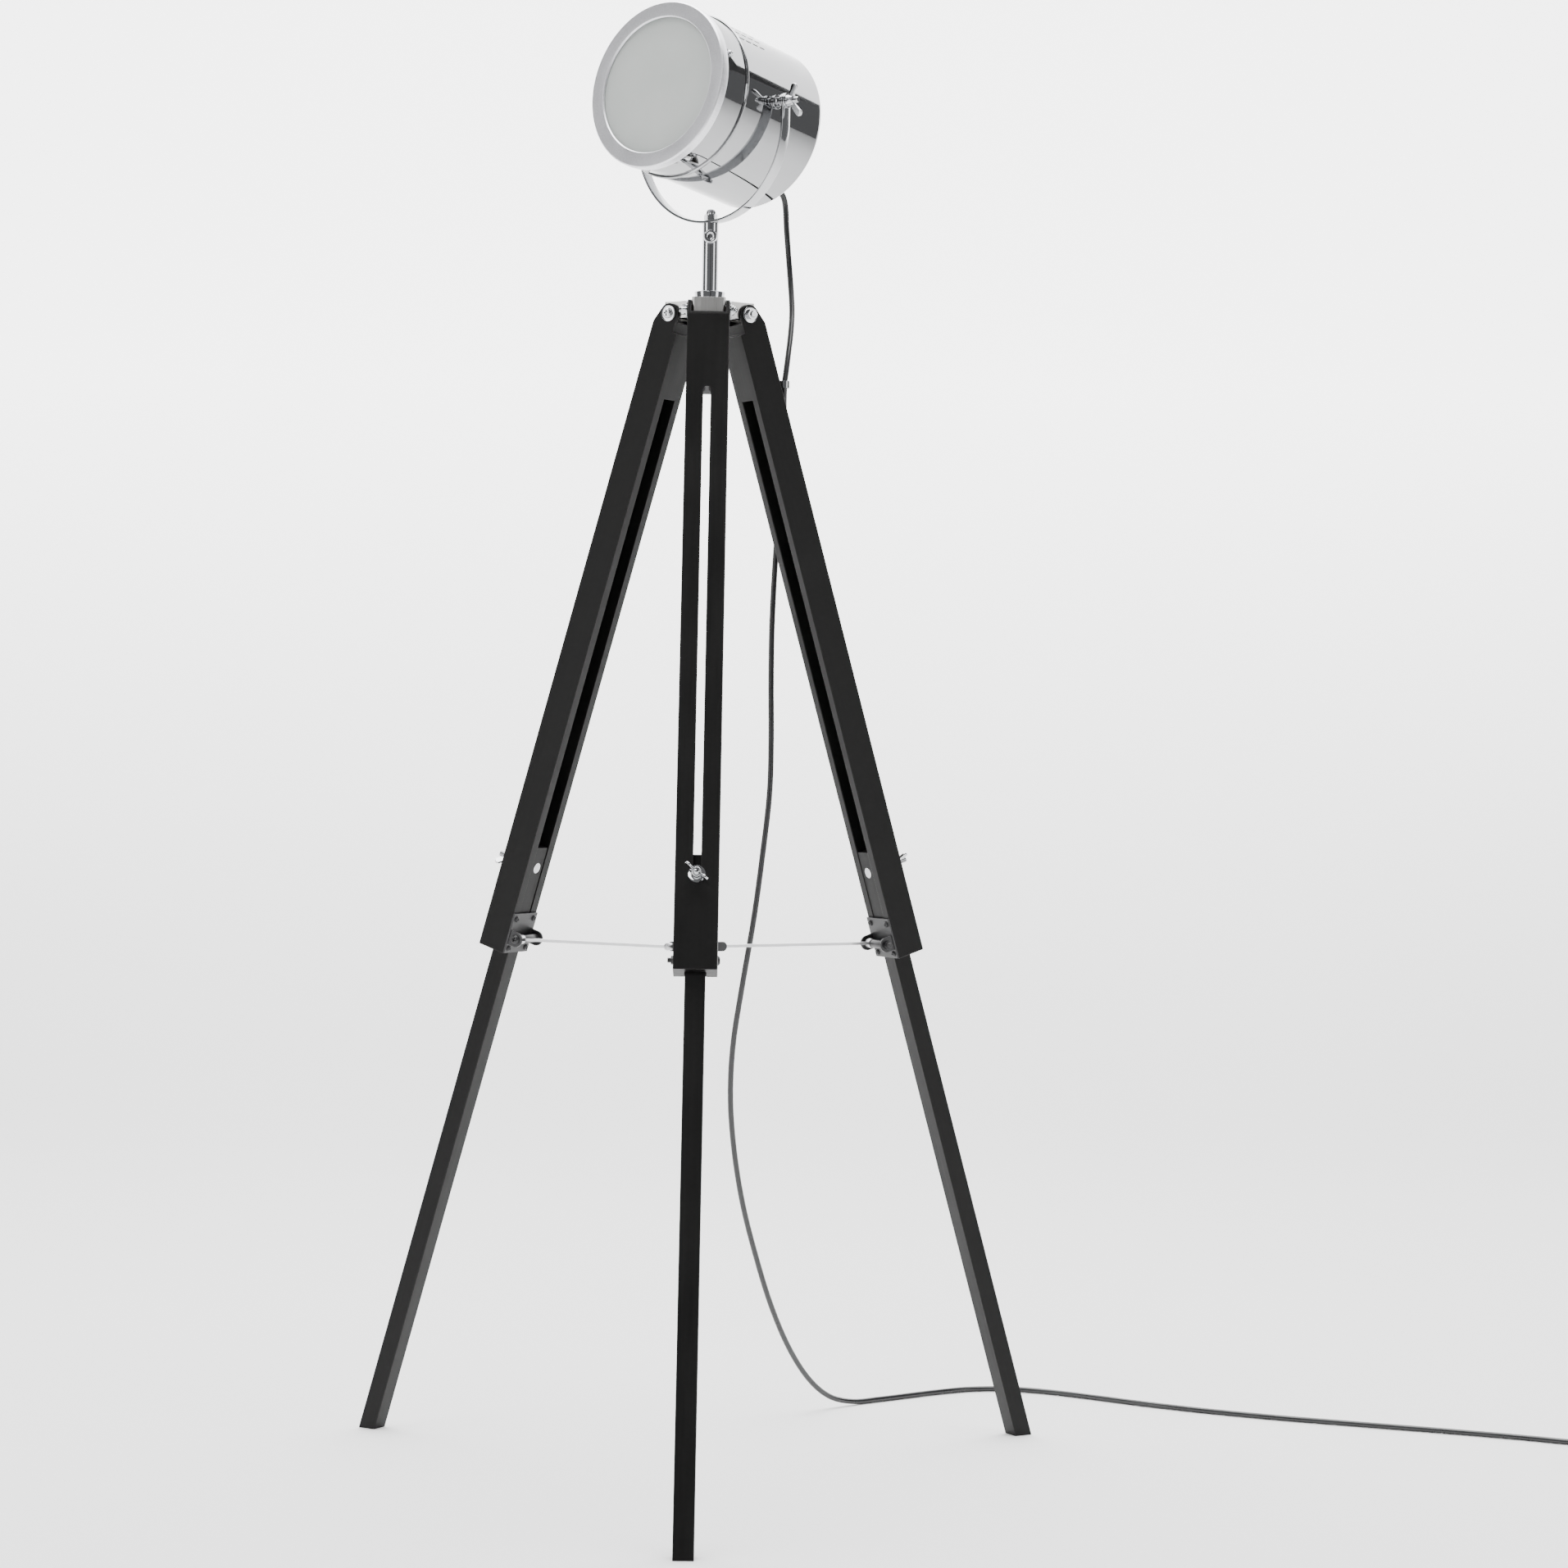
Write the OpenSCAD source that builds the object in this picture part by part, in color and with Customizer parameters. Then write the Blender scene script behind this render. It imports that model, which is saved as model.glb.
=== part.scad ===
// Tripod floor lamp: a spotlight head in a yoke on a short stem, over three
// telescopic wooden legs that fold together and are tied by a three-bar spreader.
// Millimetres, +Z up, origin on the tripod's axis at floor level, front leg towards -Y.

/* [Tripod] */
// Height of the three leg pivots above the floor
pivot_z = 1200; // [1100:10:1300]
// Distance from the axis to each leg pivot
pivot_r = 36; // [34:1:42]
// Distance from the axis to each leg's centre line at floor level
foot_r = 415; // [360:5:450]

/* [Upper legs] */
// Width across the leg
leg_w = 43; // [40:0.5:50]
// Depth from the inner to the outer face
leg_d = 32; // [30:0.5:38]
// Length from the pivot down to the open lower end
upper_len = 700; // [690:5:740]
// Width of the fork at the top of the leg
fork_w = 35.4; // [34:0.1:36]
// Radius of the rounded cheeks round the pivot
cheek_r = 10.5; // [9.5:0.5:13]
// Distance from the pivot down to the shoulder under the rounded cheeks
fork_depth = 18; // [17:1:24]
// Distance from the pivot down to the floor of the fork
fork_floor = 7.5; // [7:0.5:12]
// Distance from the pivot down to the start of the groove
groove_top = 87; // [70:1:110]
// Width of the slot for the clamp bolt in the outer wall
slot_w = 8; // [7:0.5:10]
// Distance from the pivot down to the start of that slot
slot_top = 95; // [90:1:120]

/* [Lower legs] */
// Width of the square sliding leg
lower_w = 20; // [18:0.5:24]
// Distance from the pivot down to its top end, fully drawn out
lower_top = 582; // [560:1:600]
// Clearance between the lower leg and the walls of its groove
slide_gap = 0.5; // [0.3:0.1:0.8]
// How far the lower leg lies below the inner face of the rails
inner_setback = 0.8; // [0.5:0.1:2]

/* [Leg clamps] */
// Distance from the pivot down to the clamp bolt, fully drawn out
clamp_s = 605; // [600:1:620]
// Diameter of the clamp bolt
clamp_d = 6; // [5:0.5:6]
// Outside diameter of the clamp washer
clamp_washer_d = 17.5; // [14:0.5:20]
// Tip to tip width of a wing nut
wing_span = 28; // [22:1:32]

/* [Top brackets and hub] */
// Diameter of the hub
hub_d = 40; // [38:1:42]
// Height of the hub
hub_h = 17; // [15:1:22]
// Distance from the leg pivots down to the hub's underside
hub_drop = 3; // [1:0.5:6]
// Height of the collar over the hub
collar_h = 8.5; // [6:0.5:12]
// Outside width of the strap brackets that carry the legs
bracket_w = 34.8; // [33.4:0.1:34.8]
// Thickness of all sheet metal brackets
plate_t = 2; // [1.5:0.25:2.5]
// Height of the strap brackets
bracket_h = 17; // [15:0.5:18]
// Distance from the leg pivot out to the brackets' closed end
bracket_nose = 9; // [8:0.5:10]
// Distance from the axis to the bolts that hold the brackets to the hub
lug_bolt_r = 20; // [19:0.5:20.5]
// Diameter of the leg pivot bolts
pivot_bolt_d = 6; // [5:0.5:7]
// Running clearance on the radius of every pivot
pivot_fit = 0.1; // [0.05:0.01:0.1]

/* [Spreader] */
// Distance from the leg pivot down to the spreader pivot
spreader_s = 681; // [660:1:684]
// Distance of the spreader pivot from the inner face of the leg
spreader_in = 10; // [9:0.5:14]
// Distance from the axis to the inner end pivots
centre_r = 30; // [29:0.5:34]
// Sideways offset of each strut from its leg's centre plane
strut_offset = 12; // [12:0.25:13]
// Width of each strut
strut_w = 8; // [7:0.5:8]
// Thickness of each strut
strut_t = 3; // [2.5:0.25:4]
// Diameter of the spreader pivot bolts
spreader_bolt_d = 5; // [4:0.5:5]

/* [Stem and yoke] */
// Diameter of the stem tube
stem_d = 16.5; // [15:0.5:20]
// Wall of the stem tube
stem_wall = 1.75; // [1.5:0.25:3]
// Height of the stem above the hub's collar
stem_h = 71; // [50:1:120]
// Inside radius of the yoke's half circle
yoke_r = 95.5; // [93:0.5:110]
// Thickness of the yoke strip
yoke_t = 2.5; // [2:0.25:4]
// Width of the yoke strip
yoke_w = 13; // [12:0.5:20]
// Height of the tilt pivots over the centre of the yoke's half circle
yoke_rise = 20; // [16:1:30]
// Angle of the head round the stem, turned from the front leg
pan_at_rest = 38.8; // [0:0.1:60]
// Angle of the head above level
tilt_at_rest = 8; // [0:0.5:12]

/* [Head] */
// Outside diameter of the drum
drum_d = 170; // [160:1:172]
// Wall of the drum, the collar and the rear cap
shell_t = 1.2; // [1:0.1:2]
// Distance from the tilt pivots to the front of the drum
drum_front = 50; // [44:1:60]
// Distance from the tilt pivots to the back of the head
drum_rear = 78; // [70:1:84]
// Length of the collar in front of the drum
collar_len = 31; // [26:1:40]
// Outside diameter of the bezel
bezel_d = 174; // [170:1:180]
// Length of the bezel
bezel_len = 10; // [8:0.5:16]
// Diameter of the lens
lens_d = 149; // [130:1:152]
// Thickness of the lens
lens_t = 4; // [3:0.5:6]
// Diameter of the tilt bolts
tilt_bolt_d = 6; // [5:0.5:7]

/* [Cord] */
// Diameter of the cord
cord_d = 6.2; // [6.2:0.1:6.2]

/* [Hidden] */
$fn = 64;
eps = 0.01;
SIDES = ["front", "right", "left"];
azimuths = [-90, 30, 150];
joint_gap = 0.3;
splay = atan((foot_r - pivot_r) / pivot_z);
leg_len = pivot_z / cos(splay);
groove_w = lower_w + 2 * slide_gap;
groove_d = lower_w + inner_setback + slide_gap;
lower_x = -leg_d / 2 + inner_setback + lower_w / 2;
rail_w = (leg_w - groove_w) / 2;
hub_z = pivot_z - hub_drop;
stem_z = hub_z + hub_h + collar_h;
stem_top = stem_z + stem_h;
yoke_out = yoke_r + yoke_t;
tilt_z = stem_top + yoke_out + yoke_rise;
spreader_x = -leg_d / 2 - spreader_in;
spreader_r = pivot_r + spreader_s * sin(splay) + spreader_x * cos(splay);
spreader_z = pivot_z - spreader_s * cos(splay) + spreader_x * sin(splay);
strut_len = spreader_r - centre_r;
eye_r = 4;
wood = "#1d1c1b";
chrome = "#c8cacc";
black = "#202022";

// ---- Places ----

// Child shapes in a leg's own plane: x outwards, y across, z up, at the leg's pivot
module at_pivot(k) {
    rotate([0, 0, azimuths[k]]) translate([pivot_r, 0, pivot_z]) children();
}

// Child shapes along the splayed leg: x out of its outer face, z up along it
module on_leg(k) {
    at_pivot(k) rotate([0, -splay, 0]) children();
}

// Child shapes in the yoke's frame, at the tilt pivots, front towards -y
module in_yoke() {
    translate([0, 0, tilt_z]) rotate([0, 0, -pan_at_rest]) children();
}

// Child shapes in the head's frame, tilted at rest
module in_head() {
    in_yoke() rotate([-tilt_at_rest, 0, 0]) children();
}

// Child shapes along the head's axis: z forwards, y up
module along_head() {
    in_head() rotate([90, 0, 0]) children();
}

// ---- General shapes ----

// Round bar along y from y0 to y1
module bar_y(d, y0, y1) {
    translate([0, y0, 0]) rotate([-90, 0, 0]) cylinder(d = d, h = y1 - y0);
}

// Round bar along x from x0 to x1
module bar_x(d, x0, x1) {
    translate([x0, 0, 0]) rotate([0, 90, 0]) cylinder(d = d, h = x1 - x0);
}

// Hexagon nut or head along y
module hex_y(across_flats, y0, y1) {
    translate([0, y0, 0]) rotate([-90, 0, 0])
        cylinder(d = across_flats / cos(30), h = y1 - y0, $fn = 6);
}

// Ring along z
module ring(outer_d, inner_d, h) {
    difference() {
        cylinder(d = outer_d, h = h);
        translate([0, 0, -eps]) cylinder(d = inner_d, h = h + 2 * eps);
    }
}

// Tube of revolution round z through [radius, height] points of its outline
module turned(outline) {
    rotate_extrude($fn = 96) polygon(outline);
}

// Domed screw head along z, standing on z = 0, with a cross recess
module pan_head(d, h) {
    difference() {
        intersection() {
            cylinder(d = d, h = h);
            translate([0, 0, h - d]) sphere(r = d);
        }
        for (a = [0, 90]) rotate([0, 0, a])
            translate([-d * 0.28, -d * 0.05, h * 0.5]) cube([d * 0.56, d * 0.1, h]);
    }
}

// Wing nut along z, standing on z = 0, bored for its bolt
module wing_nut(bolt_d, span, turn) {
    body_d = bolt_d * 2;
    nut_h = bolt_d * 1.3;
    rotate([0, 0, turn]) difference() {
        union() {
            cylinder(d1 = body_d, d2 = body_d * 0.8, h = nut_h);
            for (side = [-1, 1]) rotate([90, 0, 0])
                translate([0, 0, -1.25]) linear_extrude(2.5) hull() {
                    translate([side * body_d * 0.3, nut_h * 0.4]) circle(r = nut_h * 0.35, $fn = 24);
                    translate([side * (span / 2 - 4), nut_h * 1.5]) circle(r = 4, $fn = 24);
                }
        }
        translate([0, 0, -eps]) cylinder(d = bolt_d + 2 * pivot_fit, h = nut_h * 3);
    }
}

// ---- Legs ----

module upper_leg(k) {
    color(wood) on_leg(k) difference() {
        union() {
            translate([-leg_d / 2, -leg_w / 2, -upper_len]) cube([leg_d, leg_w, upper_len - fork_depth]);
            // Rounded cheeks, straight up the outer side and stepped in on the inner side
            hull() {
                bar_y(2 * cheek_r, -leg_w / 2, leg_w / 2);
                translate([-cheek_r, -leg_w / 2, -fork_depth - eps])
                    cube([cheek_r + leg_d / 2, leg_w, fork_depth / 3]);
            }
        }
        // Fork for the strap bracket
        translate([-leg_d, -fork_w / 2, -fork_floor]) cube([2 * leg_d, fork_w, 2 * fork_depth + cheek_r]);
        // Groove for the lower leg, open inwards and at the bottom
        translate([-leg_d / 2 - eps, -groove_w / 2, -upper_len - eps])
            cube([groove_d + eps, groove_w, upper_len - groove_top + eps]);
        // Slot for the clamp bolt, with round ends
        translate([-leg_d / 2, -slot_w / 2, -clamp_s]) cube([leg_d + eps, slot_w, clamp_s - slot_top]);
        for (s = [slot_top, clamp_s]) translate([0, 0, -s]) bar_x(slot_w, -leg_d / 2, leg_d / 2 + eps);
        bar_y(pivot_bolt_d + 2 * pivot_fit, -leg_w, leg_w);
    }
}

module lower_leg(k) {
    color(wood) difference() {
        on_leg(k) difference() {
            translate([lower_x - lower_w / 2, -lower_w / 2, -leg_len - lower_w])
                cube([lower_w, lower_w, leg_len + lower_w - lower_top]);
            translate([0, 0, -clamp_s]) bar_x(clamp_d, -leg_d, leg_d);
            translate([lower_x - lower_w / 2 - eps, 0, -clamp_s]) rotate([0, 90, 0])
                cylinder(d = 2 * clamp_d, h = clamp_d / 2 + eps);
        }
        // The foot is cut flat on the floor
        rotate([0, 0, azimuths[k]]) translate([0, -leg_w, -4 * lower_w])
            cube([2 * foot_r, 2 * leg_w, 4 * lower_w]);
    }
}

module clamp_bolt(k) {
    color(chrome) on_leg(k) translate([0, 0, -clamp_s]) {
        bar_x(clamp_d, lower_x - lower_w / 2 + clamp_d / 2, leg_d / 2 + 3 * clamp_d);
        bar_x(2 * clamp_d - 0.4, lower_x - lower_w / 2, lower_x - lower_w / 2 + clamp_d / 2);
        difference() {
            bar_x(clamp_washer_d, leg_d / 2 + joint_gap, leg_d / 2 + joint_gap + 1.5);
            bar_x(clamp_d - eps, 0, leg_d);
        }
    }
}

module leg_wing_nut(k) {
    color(chrome) on_leg(k)
        translate([leg_d / 2 + joint_gap + 1.6, 0, -clamp_s])
        rotate([0, 90, 0]) wing_nut(clamp_d, wing_span, 52);
}

// ---- Top brackets ----

lug_bolt_z = 4.5;
lug_bolt_d = 4;
bracket_root = 13.4;
bracket_drop = 4.5;

// Strap bent round the fork's inside, open towards the hub
module strap_outline(root, half, nose, bend) {
    hull() {
        translate([root, -half]) square([1, 2 * half]);
        for (side = [-1, 1]) translate([nose - bend, side * (half - bend)]) circle(r = bend);
    }
}

module top_bracket(k) {
    root = bracket_root - pivot_r;
    bend = 3.5;
    color(chrome) at_pivot(k) difference() {
        translate([0, 0, -bracket_drop]) linear_extrude(bracket_h) difference() {
            strap_outline(root, bracket_w / 2, bracket_nose, bend);
            strap_outline(root - 1, bracket_w / 2 - plate_t, bracket_nose - plate_t, bend - plate_t);
        }
        bar_y(pivot_bolt_d, -leg_w, leg_w);
        translate([lug_bolt_r - pivot_r, 0, lug_bolt_z]) bar_y(lug_bolt_d, -leg_w, leg_w);
    }
}

// Round plate along y, centred on y = at
module bar_y_at(d, at, t) {
    bar_y(d, at - t / 2, at + t / 2);
}

module pivot_bolt(k) {
    head_h = 3.5;
    washer_t = 1.5;
    face = leg_w / 2 + joint_gap;
    color(chrome) at_pivot(k) {
        bar_y(pivot_bolt_d, -face - washer_t - 7, face + washer_t);
        translate([0, face + washer_t, 0]) rotate([-90, 0, 0]) pan_head(11, head_h);
        for (side = [-1, 1]) difference() {
            bar_y_at(17, side * (face + washer_t / 2), washer_t);
            bar_y(pivot_bolt_d - eps, -leg_w, leg_w);
        }
        difference() {
            hex_y(10, -face - washer_t - 5, -face - washer_t);
            bar_y(pivot_bolt_d - eps, -leg_w, leg_w);
        }
    }
}

// ---- Hub and stem ----

module hub() {
    lug_w = bracket_w - 2 * plate_t - 0.1;
    lug_end = lug_bolt_r + 4.5;
    color("#b4b3b0") difference() {
        union() {
            translate([0, 0, hub_z]) cylinder(d = hub_d, h = hub_h);
            for (a = azimuths) rotate([0, 0, a])
                translate([0, -lug_w / 2, hub_z]) cube([lug_end, lug_w, hub_h - 1]);
        }
        for (a = azimuths) rotate([0, 0, a])
            translate([lug_bolt_r, 0, pivot_z + lug_bolt_z]) bar_y(lug_bolt_d, -leg_w, leg_w);
        translate([0, 0, hub_z + 3]) cylinder(d = stem_d, h = hub_h);
    }
}

module hub_collar() {
    color(chrome) translate([0, 0, hub_z + hub_h]) difference() {
        cylinder(d1 = hub_d - 9.5, d2 = hub_d - 8, h = collar_h);
        translate([0, 0, -eps]) cylinder(d = stem_d, h = collar_h + 2 * eps);
    }
}

module stem() {
    color(chrome) difference() {
        translate([0, 0, hub_z + 3]) ring(stem_d, stem_d - 2 * stem_wall, stem_top - hub_z - 3);
        translate([0, 0, lock_z]) rotate([0, 0, -90]) bar_x(lock_d + 2 * pivot_fit, 0, stem_d);
    }
}

lock_z = stem_top - 15;
lock_d = 5;

// Cross bolts that hold the brackets to the hub's lugs, with their nuts
module bracket_screws() {
    outside = bracket_w / 2;
    color(chrome) for (a = azimuths) rotate([0, 0, a]) translate([lug_bolt_r, 0, pivot_z + lug_bolt_z]) {
        bar_y(lug_bolt_d, -outside, outside + 2.9);
        translate([0, -outside - 2, 0]) rotate([-90, 0, 0]) cylinder(d = 7, h = 2);
        difference() {
            hex_y(7, outside, outside + 2.6);
            bar_y(lug_bolt_d - eps, -leg_w, leg_w);
        }
    }
}

module lock_screw() {
    color(chrome) translate([0, 0, lock_z]) rotate([0, 0, -90]) difference() {
        union() {
            bar_x(lock_d, spigot_d / 2 + 0.2, stem_d / 2 + 4);
            bar_x(14, stem_d / 2 + 0.5, stem_d / 2 + 8);
        }
        translate([stem_d / 2 + 4, 0, 0]) rotate([0, 90, 0]) cylinder(d = 6, h = 9, $fn = 6);
    }
}

// ---- Spreader ----

ear_y = leg_w / 2 - plate_t;
bracket_len = 44;
bracket_screw_s = [6, 39];

module spreader_bracket(k) {
    ear_r = 8;
    color(black) on_leg(k) difference() {
        union() {
            translate([-leg_d / 2 - plate_t, -leg_w / 2, -upper_len + 1])
                cube([plate_t, leg_w, bracket_len]);
            for (side = [-1, 1]) {
                translate([spreader_x, side * ear_y - plate_t / 2, -spreader_s - ear_r])
                    cube([spreader_in, plate_t, 2 * ear_r]);
                translate([spreader_x, 0, -spreader_s]) bar_y_at(2 * ear_r, side * ear_y, plate_t);
            }
        }
        translate([spreader_x, 0, -spreader_s]) bar_y(spreader_bolt_d, -leg_w, leg_w);
        for (side = [-1, 1]) for (s = bracket_screw_s)
            translate([0, side * (leg_w - rail_w) / 2, -upper_len + s]) bar_x(3.5, -leg_d, 0);
    }
}

// Pivot bolt with its nut and sleeves, and the four screws that hold the bracket
module spreader_bolt(k) {
    strut_lo = strut_offset - strut_w / 2 - joint_gap;
    strut_hi = strut_offset + strut_w / 2 + joint_gap;
    ear = ear_y - plate_t / 2;
    color(black) on_leg(k) {
        translate([spreader_x, 0, -spreader_s]) {
            bar_y(spreader_bolt_d, -28, ear + plate_t);
            translate([0, ear + plate_t, 0]) rotate([-90, 0, 0]) pan_head(10, 3.2);
            difference() {
                hex_y(8, -ear - plate_t - 4, -ear - plate_t);
                bar_y(spreader_bolt_d - eps, -leg_w, leg_w);
            }
            difference() {
                union() {
                    bar_y(9, -ear, strut_lo);
                    if (ear > strut_hi) bar_y(9, strut_hi, ear);
                }
                bar_y(spreader_bolt_d - eps, -leg_w, leg_w);
            }
        }
        for (side = [-1, 1]) for (s = bracket_screw_s)
            translate([-leg_d / 2 - plate_t, side * (leg_w - rail_w) / 2, -upper_len + s]) {
                bar_x(3.5, 0, 12);
                rotate([0, -90, 0]) pan_head(6.5, 2);
            }
    }
}

module strut(k) {
    y0 = strut_offset - strut_w / 2;
    color("#9a9b9d") rotate([0, 0, azimuths[k]]) difference() {
        union() {
            translate([centre_r, y0, spreader_z - strut_t / 2]) cube([strut_len, strut_w, strut_t]);
            translate([spreader_r, 0, spreader_z]) bar_y(2 * eye_r + 2, y0, y0 + strut_w);
            translate([centre_r, 0, spreader_z]) {
                bar_y(2 * eye_r, y0, y0 + strut_w);
                bar_y(4, y0 - joint_gap, y0);
                translate([0, y0 + strut_w, 0]) rotate([-90, 0, 0]) pan_head(7, 2);
            }
        }
        translate([spreader_r, 0, spreader_z])
            bar_y(spreader_bolt_d + 2 * pivot_fit, -leg_w, leg_w);
    }
}

// Core with one upright ear beside each strut
module spreader_centre() {
    ear_y0 = 4.6;
    ear_t = strut_offset - strut_w / 2 - 2 * joint_gap - ear_y0;
    color(black) translate([0, 0, spreader_z]) {
        translate([0, 0, -6]) cylinder(r = 7, h = 12);
        for (a = azimuths) rotate([0, 0, a]) {
            translate([0, ear_y0, -5]) cube([centre_r, ear_t, 10]);
            translate([centre_r, 0, 0]) bar_y(10, ear_y0, ear_y0 + ear_t);
        }
    }
}

// ---- Yoke ----

spigot_d = stem_d - 2 * stem_wall - 0.4;
spigot_len = 34;

module yoke() {
    color(chrome) in_yoke() difference() {
        union() {
            translate([0, yoke_w / 2, -yoke_rise]) rotate([90, 0, 0]) linear_extrude(yoke_w) difference() {
                union() {
                    intersection() {
                        circle(r = yoke_out, $fn = 128);
                        translate([-2 * yoke_out, -2 * yoke_out]) square([4 * yoke_out, 2 * yoke_out]);
                    }
                    translate([-yoke_out, 0]) square([2 * yoke_out, yoke_rise]);
                }
                circle(r = yoke_r, $fn = 128);
                translate([-yoke_r, 0]) square([2 * yoke_r, yoke_rise + 1]);
            }
            for (side = [-1, 1])
                translate([side * (yoke_r + yoke_t / 2), 0, 0]) bar_x(yoke_w + 3, -yoke_t / 2, yoke_t / 2);
        }
        bar_x(tilt_bolt_d + 2 * pivot_fit, -2 * yoke_r, 2 * yoke_r);
        translate([0, 0, -yoke_rise - 2 * yoke_r]) cylinder(d = 8, h = yoke_r);
    }
}

// Spigot that turns in the stem, with its stud up through the yoke
module pan_spigot() {
    color(chrome) {
        translate([0, 0, stem_top - spigot_len]) difference() {
            cylinder(d = spigot_d, h = spigot_len - 0.5);
            translate([0, 0, spigot_len - 15]) rotate_extrude()
                translate([spigot_d / 2 - 0.6, -3]) square([2, 6]);
        }
        translate([0, 0, stem_top - 0.5 - eps]) cylinder(d = 8, h = 0.5 + yoke_t + 10 + eps);
    }
}

module acorn_nut() {
    z0 = stem_top + yoke_t + joint_gap;
    color(chrome) difference() {
        union() {
            translate([0, 0, z0]) cylinder(d = 12 / cos(30), h = 6.5, $fn = 6);
            translate([0, 0, z0 + 6.5]) intersection() {
                cylinder(d = 10.6, h = 6);
                translate([0, 0, -1]) sphere(d = 14);
            }
        }
        translate([0, 0, z0 - eps]) cylinder(d = 8, h = stem_top + yoke_t + 10 - z0);
    }
}

// ---- Head ----

drum_r = drum_d / 2;
rim_r = 6;

module drum() {
    vent_l = 9;
    vent_h = 2.6;
    color(chrome) along_head() difference() {
        union() {
            translate([0, 0, rim_r - drum_rear])
                ring(drum_d, drum_d - 2 * shell_t, drum_front + drum_rear - rim_r - 3);
            turned([[drum_r - shell_t, drum_front - 3 - eps], [drum_r, drum_front - 3 - eps],
                [drum_r + 1.5, drum_front - 2.4], [drum_r + 1.8, drum_front - 1.5],
                [drum_r + 1.5, drum_front - 0.6], [drum_r, drum_front], [drum_r - shell_t, drum_front]]);
        }
        bar_x(tilt_bolt_d, -drum_d, drum_d);
        // Three rows of four cooling slots high on each side
        for (side = [-1, 1]) for (row = [0:2]) for (col = [0:3])
            translate([0, 0, 6 + col * 11]) rotate([0, 0, 90 + side * (34 + row * 7)])
                translate([drum_r - 4, -vent_h / 2, -vent_l / 2 + vent_h / 2]) {
                    cube([8, vent_h, vent_l - vent_h]);
                    for (z = [0, vent_l - vent_h]) translate([0, vent_h / 2, z]) bar_x(vent_h, 0, 8);
                }
    }
}

module rear_cap() {
    color(chrome) along_head() difference() {
        translate([0, 0, -drum_rear]) turned(concat([[0, 0]],
            [for (t = [0:15:90]) [drum_r - rim_r * (1 - sin(t)), rim_r * (1 - cos(t))]],
            [for (t = [90:-15:0]) [drum_r - rim_r + (rim_r - shell_t) * sin(t),
                rim_r - (rim_r - shell_t) * cos(t)]],
            [[0, shell_t]]));
        translate([0, -gland_drop, -drum_rear - 1]) cylinder(d = 10, h = 4);
        translate([0, toggle_rise, -drum_rear - 1]) cylinder(d = 12, h = 4);
        for (side = [-1, 1]) translate([side * 24, 0, -drum_rear - 1]) cylinder(d = 4, h = 4);
    }
}

gland_drop = 50;
toggle_rise = 46;
collar_z = drum_front;
bezel_z = drum_front + collar_len;

module front_collar() {
    color(chrome) along_head() difference() {
        union() {
            translate([0, 0, collar_z]) ring(drum_d - 1, drum_d - 1 - 2 * shell_t, collar_len);
            translate([0, 0, collar_z - 8])
                ring(drum_d - 2 * shell_t - 0.6, drum_d - 4.5 * shell_t, 8 + shell_t);
            translate([0, 0, collar_z]) ring(drum_d - 2, drum_d - 4.5 * shell_t, shell_t);
        }
        for (a = screw_angles) rotate([0, 0, a])
            translate([0, 0, bezel_z - 7]) bar_x(3, drum_r - 9, drum_r + 3);
    }
}

screw_angles = [20, 140, 260];

module bezel() {
    r = bezel_d / 2;
    inner = lens_d / 2 - 4;
    seat = lens_d / 2 + 0.3;
    color("#c9c9cf") along_head() translate([0, 0, bezel_z]) difference() {
        turned([[inner, bezel_len - 2.5], [inner, bezel_len - 1.2], [inner + 1.2, bezel_len],
            [r - 2, bezel_len], [r - 0.6, bezel_len - 0.6], [r, bezel_len - 2], [r, 0],
            [drum_r - 0.5 - 2 * shell_t, 0], [drum_r - 0.5 - 2 * shell_t, -10], [drum_r - 4.5, -10],
            [drum_r - 4.5, 1], [seat, 1], [seat, bezel_len - 2.5]]);
        for (a = screw_angles) rotate([0, 0, a]) translate([0, 0, -7]) bar_x(3, drum_r - 9, drum_r + 3);
    }
}

module lens() {
    color("#b3b8b5") along_head()
        translate([0, 0, bezel_z + bezel_len - 2.5 - joint_gap - lens_t]) cylinder(d = lens_d, h = lens_t);
}

module collar_screws() {
    color(chrome) along_head() for (a = screw_angles) rotate([0, 0, a])
        translate([0, 0, bezel_z - 7]) {
            bar_x(3, drum_r - 7, drum_r - 0.5);
            translate([drum_r - 0.5, 0, 0]) rotate([0, 90, 0]) pan_head(7, 2.6);
        }
}

module reflector() {
    mouth_r = lens_d / 2 - 3;
    neck_r = 33;
    depth = 62;
    steps = 10;
    wall = 1;
    seat = drum_r - 5;
    curve = [for (i = [0:steps]) let (t = i / steps) [neck_r + (mouth_r - neck_r) * sqrt(t), depth * t]];
    color("#dcdcdc") along_head() translate([0, 0, bezel_z + 1 - joint_gap - depth]) turned(concat(
        curve, [[seat, depth], [seat, depth - 1.4], [mouth_r + wall, depth - 1.4]],
        [for (i = [steps - 1:-1:0]) [curve[i][0] + wall, curve[i][1] - (i == 0 ? wall : 0)]]));
}

holder_z = -38;

module lamp_holder() {
    color("#ece9e0") along_head() translate([0, 0, holder_z]) {
        ring(38, 27, 31);
        cylinder(d = 38, h = 3);
    }
}

module holder_bracket() {
    color("#bdbdbd") along_head() difference() {
        union() {
            translate([-32, -10, -drum_rear + shell_t]) cube([64, 20, 1.5]);
            for (side = [-1, 1]) translate([side * 21 - 0.75, -10, -drum_rear + shell_t])
                cube([1.5, 20, drum_rear + holder_z - shell_t]);
            translate([-21.75, -10, holder_z - 1.5]) cube([43.5, 20, 1.5]);
        }
        for (side = [-1, 1]) translate([side * 27, 0, -drum_rear]) cylinder(d = 4, h = 5);
    }
}

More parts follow.
